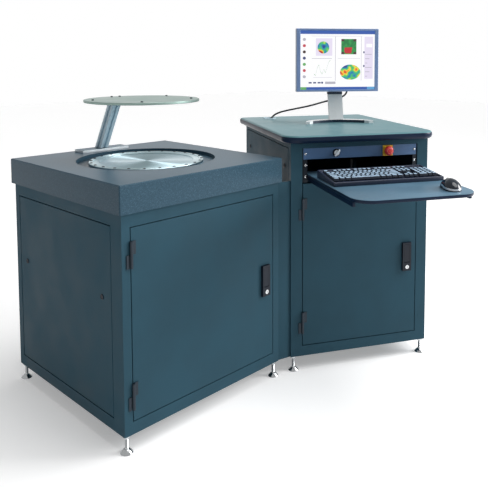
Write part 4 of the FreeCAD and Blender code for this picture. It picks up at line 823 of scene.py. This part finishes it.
# Light grey-blue for the cap tops: a painted reflection on dark caps.
key_plastic = plain_finish("key_plastic", display_colour(174, 202, 226), 0.34, mottle=0.04)
key_skirt = plain_finish("key_skirt", display_colour(16, 30, 50), 0.5, mottle=0.04)
case = bmesh.new()
add_block(case, (0, 0, -CASE_BLOCK), (CASE_WIDTH, CASE_DECK, 0))
for vert in case.verts:
    if vert.co.z < -CASE_BLOCK/2:
        back = KEYBOARD_DEPTH if vert.co.y > CASE_DECK/2 else 0
        vert.co = DECK.inverted() @ CONSOLE @ Vector((
            KEYBOARD_LEFT + vert.co.x, KEYBOARD_FRONT + back, TRAY_HIGH.z))
deck_face = [face for face in case.faces if all(abs(vert.co.z) < 0.0001 for vert in face.verts)]
bmesh.ops.inset_region(case, faces=deck_face, thickness=WELL_MARGIN)
well_floor = bmesh.ops.extrude_face_region(case, geom=deck_face)["geom"]
bmesh.ops.delete(case, geom=deck_face, context="FACES_ONLY")
bmesh.ops.translate(case, vec=(0, 0, -WELL_DEPTH),
                    verts=[part for part in well_floor if isinstance(part, bmesh.types.BMVert)])
case_edges = [line for line in case.edges if line.calc_face_angle(0) > math.radians(30)]
bmesh.ops.bevel(case, geom=case_edges, offset=CASE_EDGE, offset_type="OFFSET", affect="EDGES",
                segments=3, profile=0.5, material=-1)
set_piece("keyboard_shell", case, case_plastic, "drawer", ["keyboard_case"],
          place=DECK)

keys = merged_copy("keyboard_keys")
bmesh.ops.transform(keys, matrix=DECK.inverted(), verts=keys.verts)
KEY_TOP = 0.0064
KEY_TOP_SLACK = 0.0005
KEY_TAPER = 0.0026
KEY_EDGE = 0.0008
unseen = {vert for vert in keys.verts if vert.co.z > KEY_TOP - KEY_TOP_SLACK}
while unseen:
    cap = {unseen.pop()}
    fresh = set(cap)
    while fresh:
        near = {other for vert in fresh for line in vert.link_edges for other in line.verts}
        fresh = (near & unseen) - cap
        cap |= fresh
        unseen -= fresh
    middle = sum((vert.co for vert in cap), Vector())/len(cap)
    for vert in cap:
        vert.co.x -= math.copysign(KEY_TAPER, vert.co.x - middle.x)
        vert.co.y -= math.copysign(KEY_TAPER, vert.co.y - middle.y)
keys.normal_update()
# Faces that look up take the light colour as a painted reflection; the sides take the dark cap colour.
for face in keys.faces:
    face.material_index = 0 if face.normal.z > 0.8 else 1
caps = set_piece("key_caps", keys, [key_plastic, key_skirt], "keys", ["keyboard_keys"],
                 place=DECK)
cap_edge = caps.modifiers.new("edge", "BEVEL")
cap_edge.width = KEY_EDGE
cap_edge.segments = 2
cap_edge.limit_method = "ANGLE"
cap_edge.harden_normals = True

# Mouse.
# A black glossy shell with a silver band that drops towards the palm, and a rubber wheel in a slot
# between its two buttons.
MOUSE = Matrix.Translation((0.111547, -0.61321, 0.779)) @ Matrix.Rotation(
    math.radians(-42.3), 4, "Z")
gloss_black = plain_finish("gloss_black", display_colour(10, 28, 42), 0.12, depth=0.00001)
silver_trim = plain_finish("silver_trim", display_colour(214, 220, 228), 0.25, 0.6, mottle=0.04)
MOUSE_HALF_WIDTH = 0.0305
MOUSE_HALF_LENGTH = 0.0545
MOUSE_HEIGHT = 0.037
MOUSE_UNDERSIDE = -0.02
WAIST_DEPTH = 0.1
WAIST_SPOT = 0.1
WAIST_REACH = 0.3
SIDE_BULGE = 1.16
END_BULGE = 1.03
FRONT_DROP = 0.0075
BACK_DROP = 0.004
BACK_DROP_START = 0.2
mouse = bmesh.new()
bmesh.ops.create_uvsphere(mouse, u_segments=48, v_segments=32, radius=1)
for vert in mouse.verts:
    across, along, up = vert.co
    waist = 1 - WAIST_DEPTH*math.exp(-((along - WAIST_SPOT)/WAIST_REACH)**2)
    square = 1/max(abs(across)**3 + abs(along)**3 + 0.0001, 0.3)**(1/3)
    flat = min(square, SIDE_BULGE)
    hump = MOUSE_HEIGHT - FRONT_DROP*max(along, 0)**2 - BACK_DROP*max(-along - BACK_DROP_START, 0)
    vert.co = (across*MOUSE_HALF_WIDTH*flat*waist, along*MOUSE_HALF_LENGTH*min(flat, END_BULGE),
               max(up, MOUSE_UNDERSIDE)*hump)
bmesh.ops.remove_doubles(mouse, verts=mouse.verts, dist=0.0001)


def score_mouse(point, normal):
    """Adds edges to the mouse where a plane meets it."""
    bmesh.ops.bisect_plane(mouse, geom=mouse.verts[:] + mouse.edges[:] + mouse.faces[:],
                           plane_co=point, plane_no=normal)


SLOT_REACH = 0.0043
SLOT_SPAN = (0.0195, 0.0405)
SLOT_DEPTH = 0.012
for reach in (SLOT_REACH, -SLOT_REACH):
    score_mouse((reach, 0, 0), (1, 0, 0))
for reach in SLOT_SPAN:
    score_mouse((0, reach, 0), (0, 1, 0))
wheel_gap = [face for face in mouse.faces
             if abs(face.calc_center_median().x) < SLOT_REACH
             and SLOT_SPAN[0] < face.calc_center_median().y < SLOT_SPAN[1]
             and face.calc_center_median().z > 0.01]
sunk = bmesh.ops.extrude_face_region(mouse, geom=wheel_gap)["geom"]
bmesh.ops.delete(mouse, geom=wheel_gap, context="FACES")
bmesh.ops.translate(mouse, vec=(0, 0, -SLOT_DEPTH),
                    verts=[part for part in sunk if isinstance(part, bmesh.types.BMVert)])
BAND = (0.0085, 0.0145)
BAND_SLOPE = 0.09
for height in BAND:
    score_mouse((0, 0, height), (0, -BAND_SLOPE, 1))
for face in mouse.faces:
    spot = face.calc_center_median()
    face.material_index = int(BAND[0] < spot.z - BAND_SLOPE*spot.y < BAND[1])
set_piece("mouse_body", mouse, [gloss_black, silver_trim], "drawer", ["mouse_shell"],
          sharp=50, place=MOUSE)
TYRE_PROFILE = ((0, -0.0035), (0.0096, -0.0035), (0.0108, -0.0026), (0.011, -0.0008),
                (0.011, 0.0008), (0.0108, 0.0026), (0.0096, 0.0035), (0, 0.0035))
AXLE_PROFILE = ((0, -0.007), (0.0015, -0.007), (0.0015, 0.007), (0, 0.007))
WHEEL_SPOT = (0, 0.03, 0.022)
wheel_axis = Matrix.Translation(WHEEL_SPOT) @ Matrix.Rotation(math.radians(90), 4, "Y")
wheel = bmesh.new()
add_turned(wheel, TYRE_PROFILE, wheel_axis, 48)
add_turned(wheel, AXLE_PROFILE, wheel_axis, 12)
set_piece("mouse_wheel_tyre", wheel, pad_rubber, "wheel", ["mouse_wheel"],
          place=MOUSE)

# Monitor stand.
# A flat crescent foot and a leaning neck in pale silver plastic. The foot's inner curve is dark.
MONITOR = Matrix.Translation((0.437697, 0.1471, 0.931)) @ Matrix.Rotation(
    math.radians(-37.3), 4, "Z")
silver_plastic = plain_finish("silver_plastic", display_colour(252, 253, 254), 0.3, mottle=0.02)
dark_plastic = plain_finish("dark_plastic", display_colour(22, 44, 66), 0.4)
FOOT_DARK_REACH = 0.12
FOOT_HEIGHT = 0.012
COVER_LOW = (-0.034, 0.006, 0.127)
COVER_HIGH = (0.034, 0.034, 0.1385)
COVER_EDGE = 0.003
stand = merged_copy("monitor_stand")
bmesh.ops.transform(stand, matrix=MONITOR.inverted(), verts=stand.verts)
for face in stand.faces:
    spot = face.calc_center_median()
    if face.normal.y < -0.6 and spot.z < FOOT_HEIGHT and abs(spot.x) < FOOT_DARK_REACH:
        face.material_index = 1
set_piece("stand", stand, [silver_plastic, dark_plastic], "root", ["monitor_stand"],
          place=MONITOR)
hinge_cover = bmesh.new()
add_block(hinge_cover, COVER_LOW, COVER_HIGH, COVER_EDGE, 3)
set_piece("stand_hinge_cover", hinge_cover, dark_plastic, "root",
          place=MONITOR)

# Monitor head.
# A silver-painted rear shell with two lugs on the stand's pin, and a blue-silver bezel.
shell_plastic = plain_finish("shell_plastic", display_colour(150, 162, 178), 0.4, 0.3, mottle=0.04)
bezel_plastic = plain_finish("bezel_plastic", display_colour(124, 150, 194), 0.34, 0.5, mottle=0.04)
eased("monitor_case", 0.0025, shell_plastic, segments=3)
eased("monitor_bezel", 0.0014, bezel_plastic)

# Screen.
# A matt panel that shows four plots in a plain window, with a bar above and one below: a colour map
# of a round part, one of a square part, a line graph and a tilted surface.
def glow(material, colour):
    shader_of(material).inputs["Emission Color"].default_value = colour
    shader_of(material).inputs["Emission Strength"].default_value = 1


SCREEN_BLACK = (0.02, 0.02, 0.02, 1)


def screen_ink(name, colour):
    """One flat colour of the display, lit from behind."""
    material = new_finish(name, SCREEN_BLACK, 0.4)
    glow(material, colour)
    relief_by(material, spots(material, "ShaderNodeTexNoise", 2500).outputs["Fac"], 0.00002)
    return material


def screen_map(name, scale, stops):
    """A lit colour map whose colours follow a soft noise."""
    material = new_finish(name, SCREEN_BLACK, 0.4)
    glow(material, (1, 1, 1, 1))
    tree = material.node_tree
    field = spots(material, "ShaderNodeTexNoise", scale)
    field.inputs["Detail"].default_value = 1
    tree.links.new(ramp_of(material, field.outputs["Fac"], stops),
                   shader_of(material).inputs["Emission Color"])
    return material


HEAT = ((0.3, display_colour(24, 60, 140)), (0.38, display_colour(20, 130, 180)),
        (0.46, display_colour(50, 180, 120)), (0.54, display_colour(110, 200, 90)),
        (0.58, display_colour(240, 225, 60)), (0.64, display_colour(240, 120, 30)),
        (0.72, display_colour(170, 25, 20)))
PATCH = ((0.4, display_colour(16, 120, 60)), (0.6, display_colour(40, 150, 70)))
inks = [
    screen_ink("screen_paper", display_colour(250, 250, 252)),
    screen_ink("screen_blue", display_colour(44, 86, 168)),
    screen_ink("screen_lilac", display_colour(228, 220, 240)),
    screen_ink("screen_grey", display_colour(178, 176, 188)),
    screen_ink("screen_green", display_colour(96, 170, 96)),
    screen_ink("screen_rose", display_colour(196, 70, 84)),
    screen_ink("screen_slate", display_colour(64, 72, 120)),
    screen_ink("screen_sky", display_colour(90, 160, 210)),
    screen_ink("screen_brown", display_colour(66, 44, 40)),
    screen_ink("screen_red", display_colour(190, 30, 44)),
    screen_map("screen_heat", 34, HEAT),
    screen_map("screen_patch", 60, PATCH),
]
(PAPER, BLUE, LILAC, GREY, GREEN, ROSE, SLATE, SKY, BROWN, RED, HEAT_MAP,
 PATCH_MAP) = range(len(inks))
SCREEN_LOW = Vector((-0.1725, -0.037, 0.1515))
SCREEN_SIZE = Vector((0.345, 0, 0.265))
LAYER_STEP = 0.0001
picture = bmesh.new()
UPRIGHT = Matrix.Rotation(math.radians(90), 4, "X")


def screen_point(across, up, layer):
    """A point of the display from shares of its width and height, in front of it by its layer."""
    return SCREEN_LOW + Vector((across*SCREEN_SIZE.x, -LAYER_STEP*layer, up*SCREEN_SIZE.z))


def paint_shape(points, ink, layer):
    """A flat shape of the picture, from pairs of shares of its width and height."""
    face = picture.faces.new([picture.verts.new(screen_point(x, z, layer)) for x, z in points])
    face.material_index = ink


def paint_box(left, low, right, high, ink, layer):
    """A rectangle of the picture."""
    paint_shape([(left, low), (right, low), (right, high), (left, high)], ink, layer)


def paint_round(across, up, width, height, ink, layer, sides=40):
    """An ellipse of the picture."""
    size = Matrix.Diagonal((width*SCREEN_SIZE.x, 1, height*SCREEN_SIZE.z, 1))
    place = Matrix.Translation(screen_point(across, up, layer)) @ size @ UPRIGHT
    ring = bmesh.ops.create_circle(picture, cap_ends=True, segments=sides, radius=1, matrix=place)
    for face in ring["verts"][0].link_faces:
        face.material_index = ink


# The window's bars, panes and side panel.
paint_box(0, 0, 1, 1, PAPER, 1)
paint_box(0, 0.942, 1, 1, BLUE, 2)
paint_box(0, 0, 1, 0.044, BLUE, 2)
paint_box(0, 0, 0.08, 0.044, GREEN, 3)
paint_box(0.9, 0, 1, 0.044, SKY, 3)
paint_box(0.14, 0.905, 0.83, 0.909, GREY, 2)
paint_box(0.15, 0.525, 0.42, 0.533, GREY, 2)
paint_box(0.5, 0.528, 0.8, 0.533, GREY, 2)
paint_box(0.464, 0.15, 0.47, 0.9, GREY, 2)
paint_box(0.815, 0.15, 0.82, 0.9, GREY, 2)
paint_box(0.86, 0.18, 0.975, 0.9, LILAC, 2)
paint_box(0.885, 0.72, 0.965, 0.78, PAPER, 3)
for row in range(6):
    paint_box(0.87, 0.22 + 0.075*row, 0.9 + 0.03*(row % 3), 0.23 + 0.075*row, GREY, 3)
for up in (0.4, 0.635):
    paint_round(0.853, up, 0.011, 0.018, SLATE, 3, sides=16)
# The icons down the left side.
for row, ink in enumerate((GREY, ROSE, GREEN, SLATE, BROWN, ROSE, GREY)):
    paint_round(0.052, 0.22 + 0.105*row, 0.021, 0.026, ink, 2, sides=12)
# The round part's map, the square part's map, the tilted surface and the line graph.
paint_box(0.205, 0.575, 0.425, 0.87, LILAC, 2)
paint_round(0.305, 0.715, 0.078, 0.102, HEAT_MAP, 3)
paint_box(0.545, 0.6, 0.75, 0.86, PATCH_MAP, 3)
for left, low in ((0.545, 0.6), (0.71, 0.6), (0.545, 0.82), (0.71, 0.82)):
    paint_box(left, low, left + 0.04, low + 0.04, BROWN, 4)
paint_shape(((0.585, 0.655), (0.6, 0.615), (0.68, 0.615), (0.695, 0.72), (0.59, 0.715)), RED, 4)
paint_round(0.668, 0.295, 0.138, 0.13, HEAT_MAP, 3)
GRAPH = (0.26, 0.24, 0.36, 0.42, 0.3, 0.26, 0.34, 0.28, 0.38, 0.46, 0.5)
GRAPH_LEFT = 0.18
GRAPH_STEP = 0.022
GRAPH_LINE = 0.008
for step, (here, there) in enumerate(zip(GRAPH, GRAPH[1:])):
    left = GRAPH_LEFT + GRAPH_STEP*step
    right = left + GRAPH_STEP
    paint_shape([(left, here), (right, there), (right, there + GRAPH_LINE),
                 (left, here + GRAPH_LINE)], GREEN, 3)
paint_box(0.17, 0.205, 0.42, 0.209, GREY, 2)
for across in (0.11, 0.17, 0.23):
    paint_box(across, 0.105, across + 0.04, 0.13, SLATE, 2)
paint_round(0.29, 0.118, 0.014, 0.018, SLATE, 2, sides=12)
paint_box(0.33, 0.095, 0.47, 0.135, GREY, 2)
screen_matt = plain_finish("screen_matt", display_colour(120, 150, 190), 0.4, mottle=0.03)
keep_node("monitor_screen", screen_matt)
set_piece("screen_picture", picture, inks, "screen", place=MONITOR)

# Size of the dressed part.
low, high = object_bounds()
